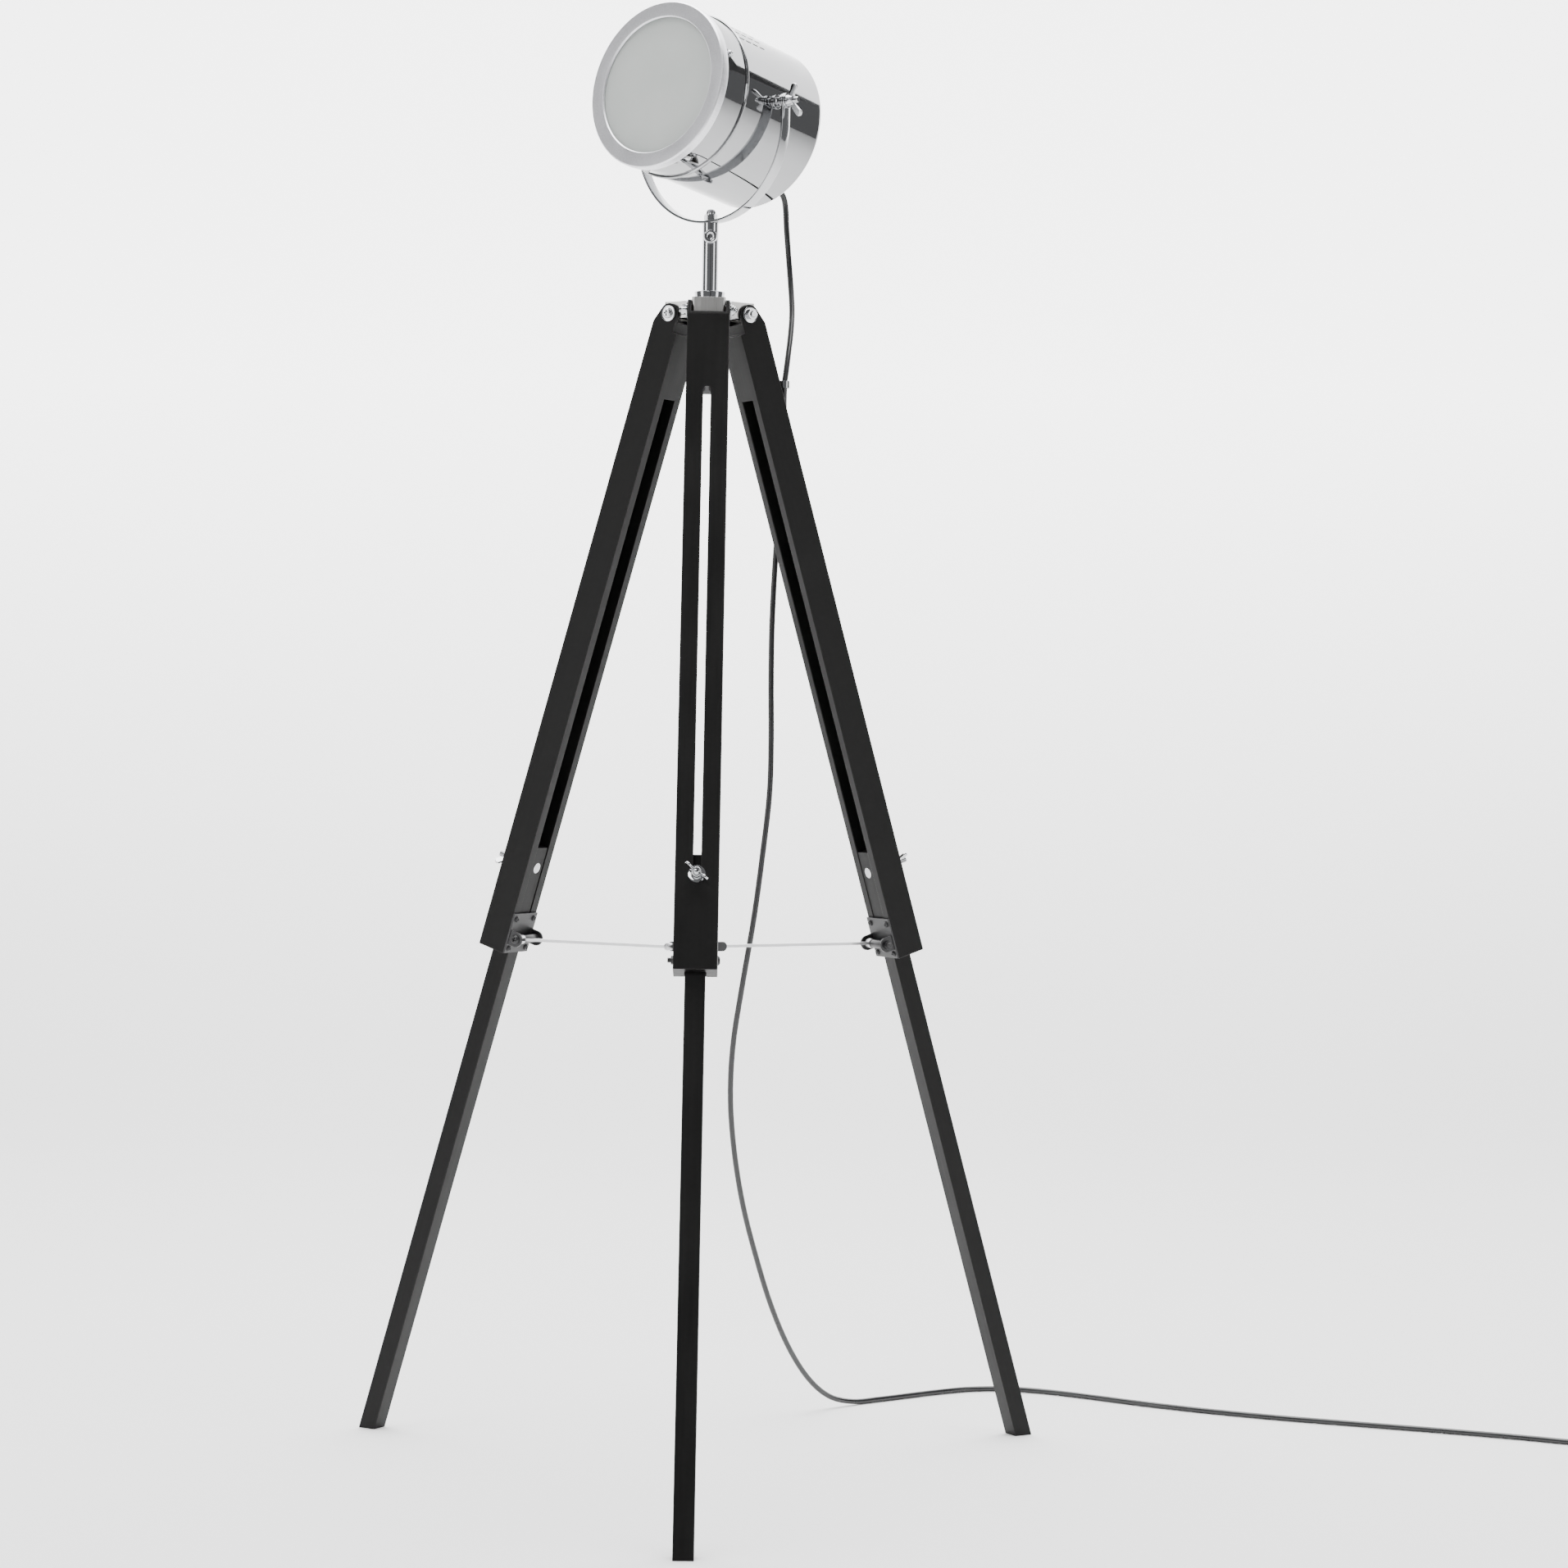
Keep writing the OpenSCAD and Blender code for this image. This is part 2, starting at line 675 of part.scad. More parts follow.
module bulb() {
    color("#f3f1e6") along_head() translate([0, 0, holder_z + 3.5]) {
        cylinder(d = 26, h = 28);
        turned([[0, 28 - eps], [13, 28 - eps], [15, 36], [22, 46], [28, 56], [30, 66], [28, 77],
            [22, 86], [13, 92], [0, 94.5]]);
    }
}

module tilt_bolts() {
    color(chrome) in_head() for (side = [-1, 1]) mirror([side < 0 ? 1 : 0, 0, 0]) {
        bar_x(tilt_bolt_d, drum_r - 6, yoke_out + 16);
        difference() {
            union() {
                bar_x(12, drum_r - 6, drum_r - shell_t - 0.5);
                bar_x(15, drum_r + 0.1, drum_r + 1.6);
                bar_x(10, drum_r + 1.7, yoke_r - 2);
                bar_x(15, yoke_r - 1.9, yoke_r - 0.3);
                bar_x(15, yoke_out + 0.3, yoke_out + 1.8);
            }
            bar_x(tilt_bolt_d - eps, 0, 2 * yoke_out);
        }
    }
}

module tilt_nut(side, turn) {
    color(chrome) in_head() mirror([side < 0 ? 1 : 0, 0, 0]) translate([yoke_out + 1.9, 0, 0])
        rotate([0, 90, 0]) wing_nut(tilt_bolt_d, 34, turn);
}

module toggle_body() {
    color(chrome) along_head() translate([0, toggle_rise, -drum_rear]) difference() {
        union() {
            translate([0, 0, -2.5]) cylinder(d = 15 / cos(30), h = 2.4, $fn = 6);
            translate([0, 0, -7]) cylinder(d = 11.6, h = 7 + shell_t + 0.3);
            translate([-7, -11, shell_t + 0.1]) cube([14, 22, 18]);
        }
        translate([0, 0, -7 - eps]) cylinder(d = 8, h = 7.5);
    }
}

module toggle_lever() {
    color(chrome) along_head() translate([0, toggle_rise, -drum_rear - 3]) rotate([15, 0, 0]) {
        sphere(d = 6);
        bar_x(2.4, -3.5, 3.5);
        translate([0, 0, -15]) cylinder(d1 = 5, d2 = 3, h = 15);
        translate([0, 0, -15]) sphere(d = 5);
    }
}

// ---- Cord ----

gland_len = 22;

// Nut and tapered strain relief where the lead leaves the rear cap
module cord_gland() {
    color(black) along_head() translate([0, -gland_drop, -drum_rear]) difference() {
        union() {
            translate([0, 0, shell_t + 0.1]) cylinder(d = 15, h = 4);
            translate([0, 0, -0.2]) cylinder(d = 9.8, h = shell_t + 0.4);
            translate([0, 0, -6]) cylinder(d = 15, h = 5.9);
            translate([0, 0, -gland_len]) cylinder(d1 = 9, d2 = 13, h = gland_len - 6 + eps);
        }
        translate([0, 0, -gland_len - eps]) cylinder(d = cord_d, h = gland_len + 10);
    }
}

// The lead from the gland down to the clip on the right leg
lead_route = [[57.7, 71.8, 1348.1], [64, 79, 1347], [71, 87, 1342], [76, 93, 1334], [78, 96, 1322],
    [79, 96, 1304], [81, 94, 1280], [84, 86, 1246], [86, 72, 1214], [85, 57, 1188], [82, 40, 1158],
    [79, 29, 1131]];

// The cord from the clip down behind the right leg and across the floor to the coil
main_route = [[79, 29, 1131], [79, 36, 1104], [81, 50, 1082], [81, 67, 1058], [78, 83, 1028],
    [75, 92, 990], [72, 99, 940], [70, 104, 880], [70, 107, 820], [71, 110, 760], [70, 113, 700],
    [63, 116, 630], [55, 119, 565], [44, 124, 495], [35, 134, 430], [33, 148, 370], [38, 168, 310],
    [48, 192, 250], [63, 220, 190], [80, 249, 133], [100, 280, 82], [123, 311, 41], [148, 338, 15],
    [176, 362, 4.5], [207, 384, 3.4], [242, 409, 3.4], [278, 434, 3.4], [316, 454, 3.4], [358, 458, 3.4],
    [402, 444, 3.4], [450, 415, 3.4], [510, 374, 3.4], [575, 336, 3.4], [650, 300, 3.4],
    [740, 265, 3.4], [830, 231, 3.4], [910, 198, 3.4], [957, 175, 3.4], [999, 161, 3.4]];
coil_x = 1015;
coil_y = 122;
coil_turn_r = 34;

// Point of a smooth curve through four points, at t from the second to the third
function smooth_point(a, b, c, d, t) = 0.5 * (2 * b + (c - a) * t + (2 * a - 5 * b + 4 * c - d) * t * t
    + (3 * b - a - 3 * c + d) * t * t * t);

function smooth_path(p, steps) = let (n = len(p)) concat(
    [for (i = [0:n - 2]) for (j = [0:steps - 1])
        smooth_point(p[max(i - 1, 0)], p[i], p[i + 1], p[min(i + 2, n - 1)], j / steps)],
    [p[n - 1]]);

function unit(v) = v / norm(v);

// Sideways direction of the first ring, carried along the path without twist
function carried(v, t) = unit(v - (v * t) * t);
function sides_along(tangents) = [for (i = 0, v = carried([1, 0.2, 0.1], tangents[0]); i < len(tangents);
    i = i + 1, v = i < len(tangents) ? carried(v, tangents[i]) : v) v];

// Round tube swept along a path as one closed solid
module swept_tube(path, d, facets) {
    n = len(path);
    tangents = [for (i = [0:n - 1]) unit(path[min(i + 1, n - 1)] - path[max(i - 1, 0)])];
    sides = sides_along(tangents);
    rings = [for (i = [0:n - 1]) for (j = [0:facets - 1])
        let (a = 360 * j / facets)
        path[i] + d / 2 * (cos(a) * sides[i] + sin(a) * cross(tangents[i], sides[i]))];
    walls = [for (i = [0:n - 2]) for (j = [0:facets - 1])
        let (k = (j + 1) % facets)
        [i * facets + j, i * facets + k, (i + 1) * facets + k, (i + 1) * facets + j]];
    ends = [[for (j = [facets - 1:-1:0]) j], [for (j = [0:facets - 1]) (n - 1) * facets + j]];
    polyhedron(points = rings, faces = [for (f = concat(walls, ends)) [for (i = [len(f) - 1:-1:0]) f[i]]]);
}

module head_lead() {
    color(black) swept_tube(smooth_path(lead_route, 2), cord_d, 8);
}

module main_cord() {
    color(black) swept_tube(smooth_path(main_route, 2), cord_d, 8);
}

clip_s = 80;

module cord_clip() {
    ring_x = leg_d / 2 + 8;
    ring_y = -14;
    bore = cord_d + 3.2;
    color(chrome) on_leg(1) translate([0, 0, -clip_s]) difference() {
        union() {
            translate([ring_x, ring_y, 0]) rotate([0, splay, 0])
                cylinder(d = bore + 2.6, h = 7.5, center = true);
            translate([leg_d / 2, ring_y - 1, -3.5]) cube([ring_x - leg_d / 2, 2, 7]);
            translate([leg_d / 2, ring_y - 1, -3.5]) cube([1.2, 20, 7]);
            translate([leg_d / 2 + 1.2, ring_y + 13, 0]) rotate([0, 90, 0]) pan_head(6.5, 2);
        }
        translate([ring_x, ring_y, 0]) rotate([0, splay, 0])
            cylinder(d = bore, h = 16, center = true);
    }
}

module cord_coil() {
    half = cord_d;
    color(black) translate([coil_x, coil_y, 0.3]) rotate_extrude($fn = 72)
        translate([coil_turn_r, half]) intersection() {
            square(2 * half, center = true);
            circle(r = half * 1.3, $fn = 32);
        }
}

plug_x = coil_x + coil_turn_r + 3;
plug_y = coil_y - 24;
plug_z = 7.3;

// Moulded two pin plug lying beside the coil, its cable end towards the coil
module plug() {
    color(black) translate([plug_x, plug_y, plug_z]) difference() {
        union() {
            rotate([90, 0, 0]) cylinder(d1 = 8, d2 = 11, h = 16);
            translate([-7, -37, -7]) cube([14, 22, 14]);
            translate([-13, -42, -7]) cube([26, 6, 14]);
        }
        for (side = [-1, 1]) translate([side * 9, -42 - eps, 0]) rotate([-90, 0, 0]) cylinder(d = 4, h = 4);
    }
}

module plug_pins() {
    color(chrome) translate([plug_x, plug_y, plug_z]) for (side = [-1, 1])
        translate([side * 9, -60, 0]) rotate([-90, 0, 0]) cylinder(d = 4, h = 22);
}

upper_leg(0);  // upper_leg_front
upper_leg(1);  // upper_leg_right
upper_leg(2);  // upper_leg_left
lower_leg(0);  // lower_leg_front
lower_leg(1);  // lower_leg_right
lower_leg(2);  // lower_leg_left
clamp_bolt(0);  // clamp_bolt_front
clamp_bolt(1);  // clamp_bolt_right
clamp_bolt(2);  // clamp_bolt_left
leg_wing_nut(0);  // wing_nut_front
leg_wing_nut(1);  // wing_nut_right
leg_wing_nut(2);  // wing_nut_left
top_bracket(0);  // top_bracket_front
top_bracket(1);  // top_bracket_right
top_bracket(2);  // top_bracket_left
pivot_bolt(0);  // pivot_bolt_front
pivot_bolt(1);  // pivot_bolt_right
pivot_bolt(2);  // pivot_bolt_left
spreader_bracket(0);  // spreader_bracket_front
spreader_bracket(1);  // spreader_bracket_right
spreader_bracket(2);  // spreader_bracket_left
spreader_bolt(0);  // spreader_bolt_front
spreader_bolt(1);  // spreader_bolt_right
spreader_bolt(2);  // spreader_bolt_left
strut(0);  // strut_front
strut(1);  // strut_right
strut(2);  // strut_left
spreader_centre();
hub();
hub_collar();
stem();
bracket_screws();
lock_screw();
yoke();
pan_spigot();
acorn_nut();
drum();
rear_cap();
front_collar();
bezel();
lens();
collar_screws();
reflector();
holder_bracket();
lamp_holder();
bulb();
tilt_bolts();
tilt_nut(1, 25);  // tilt_nut_right
tilt_nut(-1, -40);  // tilt_nut_left
toggle_body();
toggle_lever();
cord_gland();
cord_clip();
head_lead();
main_cord();
cord_coil();
plug();
plug_pins();
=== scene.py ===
"""Looks of the tripod floor lamp: a chrome spotlight on black wooden telescopic legs."""

import math

import bmesh
import bpy
from mathutils import Matrix, Vector


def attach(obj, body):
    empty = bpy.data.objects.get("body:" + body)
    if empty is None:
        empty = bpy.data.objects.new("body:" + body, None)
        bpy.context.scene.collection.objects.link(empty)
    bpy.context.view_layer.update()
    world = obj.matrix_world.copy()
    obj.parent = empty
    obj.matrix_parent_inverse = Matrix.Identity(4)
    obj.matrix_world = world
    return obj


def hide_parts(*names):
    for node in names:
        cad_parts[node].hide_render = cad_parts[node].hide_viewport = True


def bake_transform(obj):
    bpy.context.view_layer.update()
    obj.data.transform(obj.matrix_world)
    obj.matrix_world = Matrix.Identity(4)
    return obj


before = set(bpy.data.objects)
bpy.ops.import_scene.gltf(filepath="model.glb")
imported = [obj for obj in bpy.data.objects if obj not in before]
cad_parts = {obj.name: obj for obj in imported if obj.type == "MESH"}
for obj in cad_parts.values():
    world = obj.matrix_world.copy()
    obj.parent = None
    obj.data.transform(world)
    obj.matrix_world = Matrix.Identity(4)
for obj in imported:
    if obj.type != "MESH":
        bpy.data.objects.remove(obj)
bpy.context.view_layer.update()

MM = 0.001
SIDES = ("front", "right", "left")

# ---- Places on the lamp, in metres ----

PIVOT_HEIGHT = 1.2
PIVOT_REACH = 0.036
FOOT_REACH = 0.415
SPLAY = math.atan((FOOT_REACH - PIVOT_REACH) / PIVOT_HEIGHT)
STEM_TOP = 1.2935
TILT_HEIGHT = 1.4115
PAN = math.radians(38.8)
TILT = math.radians(8)


def turn(degrees, axis):
    return Matrix.Rotation(math.radians(degrees), 4, axis)


def shift(x, y, z):
    return Matrix.Translation((x, y, z))


def pivot_place(side):
    """x points away from the axis and y to the left, looking outwards."""
    azimuth = {"front": -90, "right": 30, "left": 150}[side]
    return turn(azimuth, "Z") @ shift(PIVOT_REACH, 0, PIVOT_HEIGHT)


def leg_place(side):
    """z runs up the splayed leg, and x out of its outer face."""
    return pivot_place(side) @ Matrix.Rotation(-SPLAY, 4, "Y")


YOKE_PLACE = shift(0, 0, TILT_HEIGHT) @ Matrix.Rotation(-PAN, 4, "Z")
HEAD_PLACE = YOKE_PLACE @ Matrix.Rotation(-TILT, 4, "X")
# z runs forwards along the drum, and y up
DRUM_PLACE = HEAD_PLACE @ turn(90, "X")
LEG = {side: leg_place(side) for side in SIDES}
PIVOT = {side: pivot_place(side) for side in SIDES}

# ---- Camera ----

FORWARD = Vector((0.0246, 0.99964, -0.01097))
RIGHTWARD = Vector((0.99965, -0.0245, 0.0155))


def set_up_camera():
    data = bpy.data.cameras.new("camera")
    camera = bpy.data.objects.new("camera", data)
    bpy.context.scene.collection.objects.link(camera)
    back = -FORWARD.normalized()
    up = back.cross(RIGHTWARD).normalized()
    right = up.cross(back)
    camera.matrix_world = Matrix.Translation((0.0637, -3.7386, 0.7665)) @ Matrix(
        (right, up, back)
    ).transposed().to_4x4()
    data.sensor_width = 36
    data.lens = 82.6
    data.shift_x = -0.0436
    data.shift_y = -0.0065
    data.clip_end = 60
    bpy.context.scene.camera = camera


set_up_camera()

# ---- Finishes ----


class Value:
    """A value inside a finish, which adds and multiplies like a number."""

    def __init__(self, finish, socket):
        self.finish = finish
        self.socket = socket

    def _maths(self, operation, first, second):
        return self.finish.node("ShaderNodeMath", {"operation": operation}, {0: first, 1: second})

    def __add__(self, other):
        return self._maths("ADD", self, other)

    def __radd__(self, other):
        return self._maths("ADD", other, self)

    def __sub__(self, other):
        return self._maths("SUBTRACT", self, other)

    def __rsub__(self, other):
        return self._maths("SUBTRACT", other, self)

    def __mul__(self, other):
        return self._maths("MULTIPLY", self, other)

    def __rmul__(self, other):
        return self._maths("MULTIPLY", other, self)

    def __truediv__(self, other):
        return self._maths("DIVIDE", self, other)

    def __rtruediv__(self, other):
        return self._maths("DIVIDE", other, self)

    def __pow__(self, other):
        return self._maths("POWER", self, other)


class Finish:
    """One surface finish, made up of nodes."""

    def __init__(self, name):
        self.material = bpy.data.materials.new(name)
        self.material.use_nodes = True
        self.tree = self.material.node_tree
        self.surface = self.tree.nodes["Principled BSDF"]

    def feed(self, socket, value):
        if isinstance(value, Value):
            self.tree.links.new(value.socket, socket)
        else:
            socket.default_value = value

    def node(self, kind, settings, inputs, output=0):
        made = self.tree.nodes.new(kind)
        for key, setting in settings.items():
            setattr(made, key, setting)
        for place, value in inputs.items():
            self.feed(made.inputs[place], value)
        return Value(self, made.outputs[output])

    def place(self, stretch=(1, 1, 1)):
        """Where on the piece, in its own metres, stretched."""
        here = self.node("ShaderNodeTexCoord", {}, {}, "Object")
        return self.node("ShaderNodeMapping", {}, {"Vector": here, "Scale": stretch})

    def noise(self, scale, detail=3.0, rough=0.5, stretch=(1, 1, 1), warp=0.0):
        inputs = {"Vector": self.place(stretch), "Scale": scale, "Detail": detail}
        inputs.update({"Roughness": rough, "Distortion": warp})
        return self.node("ShaderNodeTexNoise", {}, inputs)

    def spread(self, value, low, high, to_low, to_high):
        """value from low to high becomes to_low to to_high, and stays inside them."""
        inputs = {"Value": value, "From Min": low, "From Max": high}
        inputs.update({"To Min": to_low, "To Max": to_high})
        return self.node("ShaderNodeMapRange", {"clamp": True}, inputs)

    def between(self, share, first, second):
        """A colour from first to second."""
        inputs = {0: share, 6: first, 7: second}
        return self.node("ShaderNodeMix", {"data_type": "RGBA"}, inputs, 2)

    def relief(self, height, strength, depth, under=None):
        inputs = {"Height": height, "Strength": strength, "Distance": depth}
        if under is not None:
            inputs["Normal"] = under
        return self.node("ShaderNodeBump", {}, inputs)

    def edge_highlight_mask(self, radius):
        """1 on edges that stick out, within the radius, and 0.5 on flats. Used as the mask for painted
        highlights on edges.
        """
        round_normal = self.node("ShaderNodeBevel", {"samples": 4}, {"Radius": radius})
        normal = self.node("ShaderNodeNewGeometry", {}, {}, "Normal")
        inputs = {0: round_normal, 1: normal}
        return 1 - self.node("ShaderNodeVectorMath", {"operation": "DOT_PRODUCT"}, inputs, "Value")

    def set(self, **inputs):
        for place, value in inputs.items():
            self.feed(self.surface.inputs[place.replace("_", " ")], value)
        return self.material


def colour(red, green, blue):
    return (red, green, blue, 1.0)


def black_wood(name, streak):
    """Black satin lacquer over wood, with the grain just showing along the leg, and a painted highlight on
    its edges.
    """
    f = Finish(name)
    grain = f.noise(streak, 6.0, 0.62, (22, 22, 0.9), 0.6)
    pores = f.noise(900, 2.0, 0.5, (1, 1, 0.04))
    cloud = f.noise(9, 2.0)
    dark = f.between(f.spread(grain, 0.35, 0.7, 0, 1), colour(0.0026, 0.0025, 0.0025),
                     colour(0.0046, 0.0045, 0.0044))
    lit = f.between(f.spread(cloud, 0.4, 0.7, 0, 0.5), dark, colour(0.008, 0.0078, 0.0076))
    # Painted highlight: edges that stick out get a lighter colour.
    edge_highlight = f.spread(f.edge_highlight_mask(1.4 * MM), 0.004, 0.09, 0, 0.75)
    painted_light_rim = f.between(edge_highlight, lit, colour(0.03, 0.0295, 0.029))
    height = grain * 0.7 + pores * 0.5
    return f.set(
        Base_Color=painted_light_rim,
        Roughness=f.spread(grain * 0.5 + cloud * 0.5, 0.35, 0.7, 0.36, 0.5),
        Normal=f.relief(height, 0.22, 0.25 * MM),
        Specular_IOR_Level=0.16,
    )


def polished(name, tint, rough, marks, ripple):
    """Chrome plate: bright, with faint wiping marks and a slow ripple from the rolled sheet."""
    f = Finish(name)
    wipe = f.noise(60, 5.0, 0.6, (1, 1, 0.25), 0.4)
    specks = f.noise(1400, 1.0)
    slow = f.noise(7, 1.5, 0.4)
    tone = f.between(f.spread(wipe, 0.35, 0.7, 0, 1), colour(*tint), colour(*(0.96 * t for t in tint)))
    rough_at = f.spread(wipe, 0.4, 0.75, rough, rough + marks) + f.spread(specks, 0.72, 0.8, 0, 0.04)
    fine = f.relief(specks, 0.02, 0.02 * MM)
    return f.set(
        Base_Color=tone,
        Metallic=1.0,
        Roughness=rough_at,
        Normal=f.relief(slow, ripple, 0.6 * MM, fine),
    )


def brushed(name, tint, rough, stretch, depth):
    """Metal with fine lines left by brushing or turning."""
    f = Finish(name)
    lines = f.noise(700, 3.0, 0.6, stretch)
    cloud = f.noise(25, 2.0)
    tone = f.between(f.spread(lines, 0.3, 0.7, 0, 1), colour(*(0.86 * t for t in tint)), colour(*tint))
    return f.set(
        Base_Color=f.between(f.spread(cloud, 0.35, 0.7, 0, 0.4), tone, colour(*(0.9 * t for t in tint))),
        Metallic=1.0,
        Roughness=f.spread(lines * 0.6 + cloud * 0.4, 0.3, 0.7, rough, rough + 0.12),
        Normal=f.relief(lines, depth, 0.04 * MM),
    )


def coated_metal(name):
    """Black powder coat with its fine orange peel, and a painted highlight on its edges."""
    f = Finish(name)
    peel = f.noise(1600, 2.0, 0.5)
    dust = f.noise(40, 4.0)
    # Painted highlight: edges that stick out get a lighter colour.
    edge_highlight = f.spread(f.edge_highlight_mask(0.5 * MM), 0.01, 0.12, 0, 0.5)
    base = f.between(f.spread(dust, 0.45, 0.75, 0, 0.6), colour(0.011, 0.011, 0.012),
                     colour(0.022, 0.022, 0.023))
    return f.set(
        Base_Color=f.between(edge_highlight, base, colour(0.09, 0.09, 0.092)),
        Roughness=f.spread(peel, 0.3, 0.7, 0.34, 0.46),
        Normal=f.relief(peel, 0.3, 0.06 * MM),
    )


def moulded(name, shade, rough, grain):
    """Moulded plastic with a fine spark texture."""
    f = Finish(name)
    spark = f.noise(grain, 2.0, 0.6)
    flow = f.noise(30, 3.0)
    return f.set(
        Base_Color=f.between(f.spread(flow, 0.35, 0.7, 0, 1), colour(*shade),
                             colour(*(1.35 * s for s in shade))),
        Roughness=f.spread(spark, 0.3, 0.7, rough, rough + 0.12),
        Normal=f.relief(spark, 0.25, 0.05 * MM),
    )


def cable(name):
    """Glossy black cable sheath with faint lengthways drag marks and dust."""
    f = Finish(name)
    drag = f.noise(260, 3.0)
    dust = f.noise(24, 4.0, 0.65)
    return f.set(
        Base_Color=f.between(f.spread(dust, 0.5, 0.8, 0, 0.7), colour(0.008, 0.008, 0.009),
                             colour(0.02, 0.02, 0.021)),
        Roughness=f.spread(dust, 0.35, 0.7, 0.24, 0.4),
        Normal=f.relief(drag, 0.15, 0.12 * MM),
        Coat_Weight=0.2,
        Coat_Roughness=0.15,
    )


def frosted(name):
    """Sand-blasted glass: pale grey green, with painted shade that darkens it towards the outside."""
    f = Finish(name)
    blast = f.noise(2600, 2.0, 0.6)
    cloud = f.noise(16, 3.0)
    here = f.node("ShaderNodeTexCoord", {}, {}, "Object")
    flat = f.node("ShaderNodeVectorMath", {"operation": "MULTIPLY"}, {0: here, 1: (1, 1, 0)})
    out = f.node("ShaderNodeVectorMath", {"operation": "LENGTH"}, {0: flat}, "Value")
    # Painted shade: the lens is coloured darker towards the outside.
    painted_light_rim = f.spread(out, 0.045, 0.0745, 0, 1)
    middle = f.between(f.spread(cloud, 0.35, 0.7, 0, 1), colour(0.52, 0.55, 0.53), colour(0.56, 0.58, 0.565))
    return f.set(
        Base_Color=f.between(painted_light_rim * 0.5, middle, colour(0.43, 0.46, 0.445)),
        Roughness=f.spread(blast, 0.3, 0.7, 0.42, 0.6),
        Normal=f.relief(blast, 0.35, 0.05 * MM),
        Transmission_Weight=0.12,
        Subsurface_Weight=0.2,
        Subsurface_Radius=(0.01, 0.01, 0.01),
        Coat_Weight=0.15,
        Coat_Roughness=0.35,
    )


def opal(name):
    """Opal lamp glass."""
    f = Finish(name)
    mist = f.noise(90, 3.0)
    return f.set(
        Base_Color=f.between(f.spread(mist, 0.3, 0.7, 0, 1), colour(0.78, 0.77, 0.73),
                             colour(0.84, 0.83, 0.8)),
        Roughness=f.spread(mist, 0.3, 0.7, 0.22, 0.32),
        Normal=f.relief(mist, 0.05, 0.1 * MM),
    )


WOOD = black_wood("black_wood", 5.0)
LOWER_WOOD = black_wood("black_wood_lower", 7.0)
CHROME = polished("chrome", (0.52, 0.525, 0.535), 0.05, 0.06, 0.03)
MIRROR = polished("mirror_chrome", (0.37, 0.373, 0.38), 0.04, 0.04, 0.12)
NICKEL = brushed("satin_nickel", (0.60, 0.595, 0.58), 0.26, (1, 1, 0.02), 0.25)
BEZEL = brushed("satin_bezel", (0.9, 0.9, 0.93), 0.34, (1, 1, 0.05), 0.15)
STRUT_STEEL = brushed("strut_steel", (0.62, 0.62, 0.63), 0.28, (0.03, 1, 1), 0.3)
ALUMINIUM = brushed("reflector_aluminium", (0.82, 0.82, 0.82), 0.16, (1, 1, 0.1), 0.1)
BLACK_METAL = coated_metal("black_metal")
BLACK_PLASTIC = moulded("black_plastic", (0.012, 0.012, 0.013), 0.36, 1500)
HOLDER_WHITE = moulded("holder_white", (0.52, 0.5, 0.45), 0.3, 900)
CORD_BLACK = cable("cord_black")
FROSTED = frosted("frosted_glass")
OPAL = opal("opal_glass")

# ---- Making pieces ----


def eased(points, size, steps=4, closed=False):
    """The same outline, with each corner eased over that length."""
    points = [Vector(p) for p in points]
    out = []
    for i, here in enumerate(points):
        if not closed and i in (0, len(points) - 1):
            out.append(here)
            continue
        before = points[i - 1] - here
        after = points[(i + 1) % len(points)] - here
        start = here + before.normalized() * min(size, 0.45 * before.length)
        end = here + after.normalized() * min(size, 0.45 * after.length)
        for s in range(steps + 1):
            t = s / steps
            out.append(start * (1 - t) ** 2 + here * (2 * t * (1 - t)) + end * t ** 2)
    return out


def curve_through(points, steps):
    """A smooth line through the points."""
    points = [Vector(p) for p in points]
    last = len(points) - 1
    out = []
    for i in range(last):
        a, b, c, d = (points[min(max(i + k, 0), last)] for k in (-1, 0, 1, 2))
        for s in range(steps):
            t = s / steps
            out.append(0.5 * (2 * b + (c - a) * t + (2 * a - 5 * b + 4 * c - d) * t * t
                              + (3 * b - a - 3 * c + d) * t * t * t))
    return [*out, points[-1]]


def shade_flat_faces(thing):
    """Keeps broad faces shading flat right up to their eased edges."""
    even = thing.modifiers.new("even", "WEIGHTED_NORMAL")
    even.keep_sharp = True
    even.weight = 90
    bpy.context.view_layer.update()
    graph = bpy.context.evaluated_depsgraph_get()
    shaded = bpy.data.meshes.new_from_object(thing.evaluated_get(graph))
    thing.modifiers.clear()
    thing.data = shaded


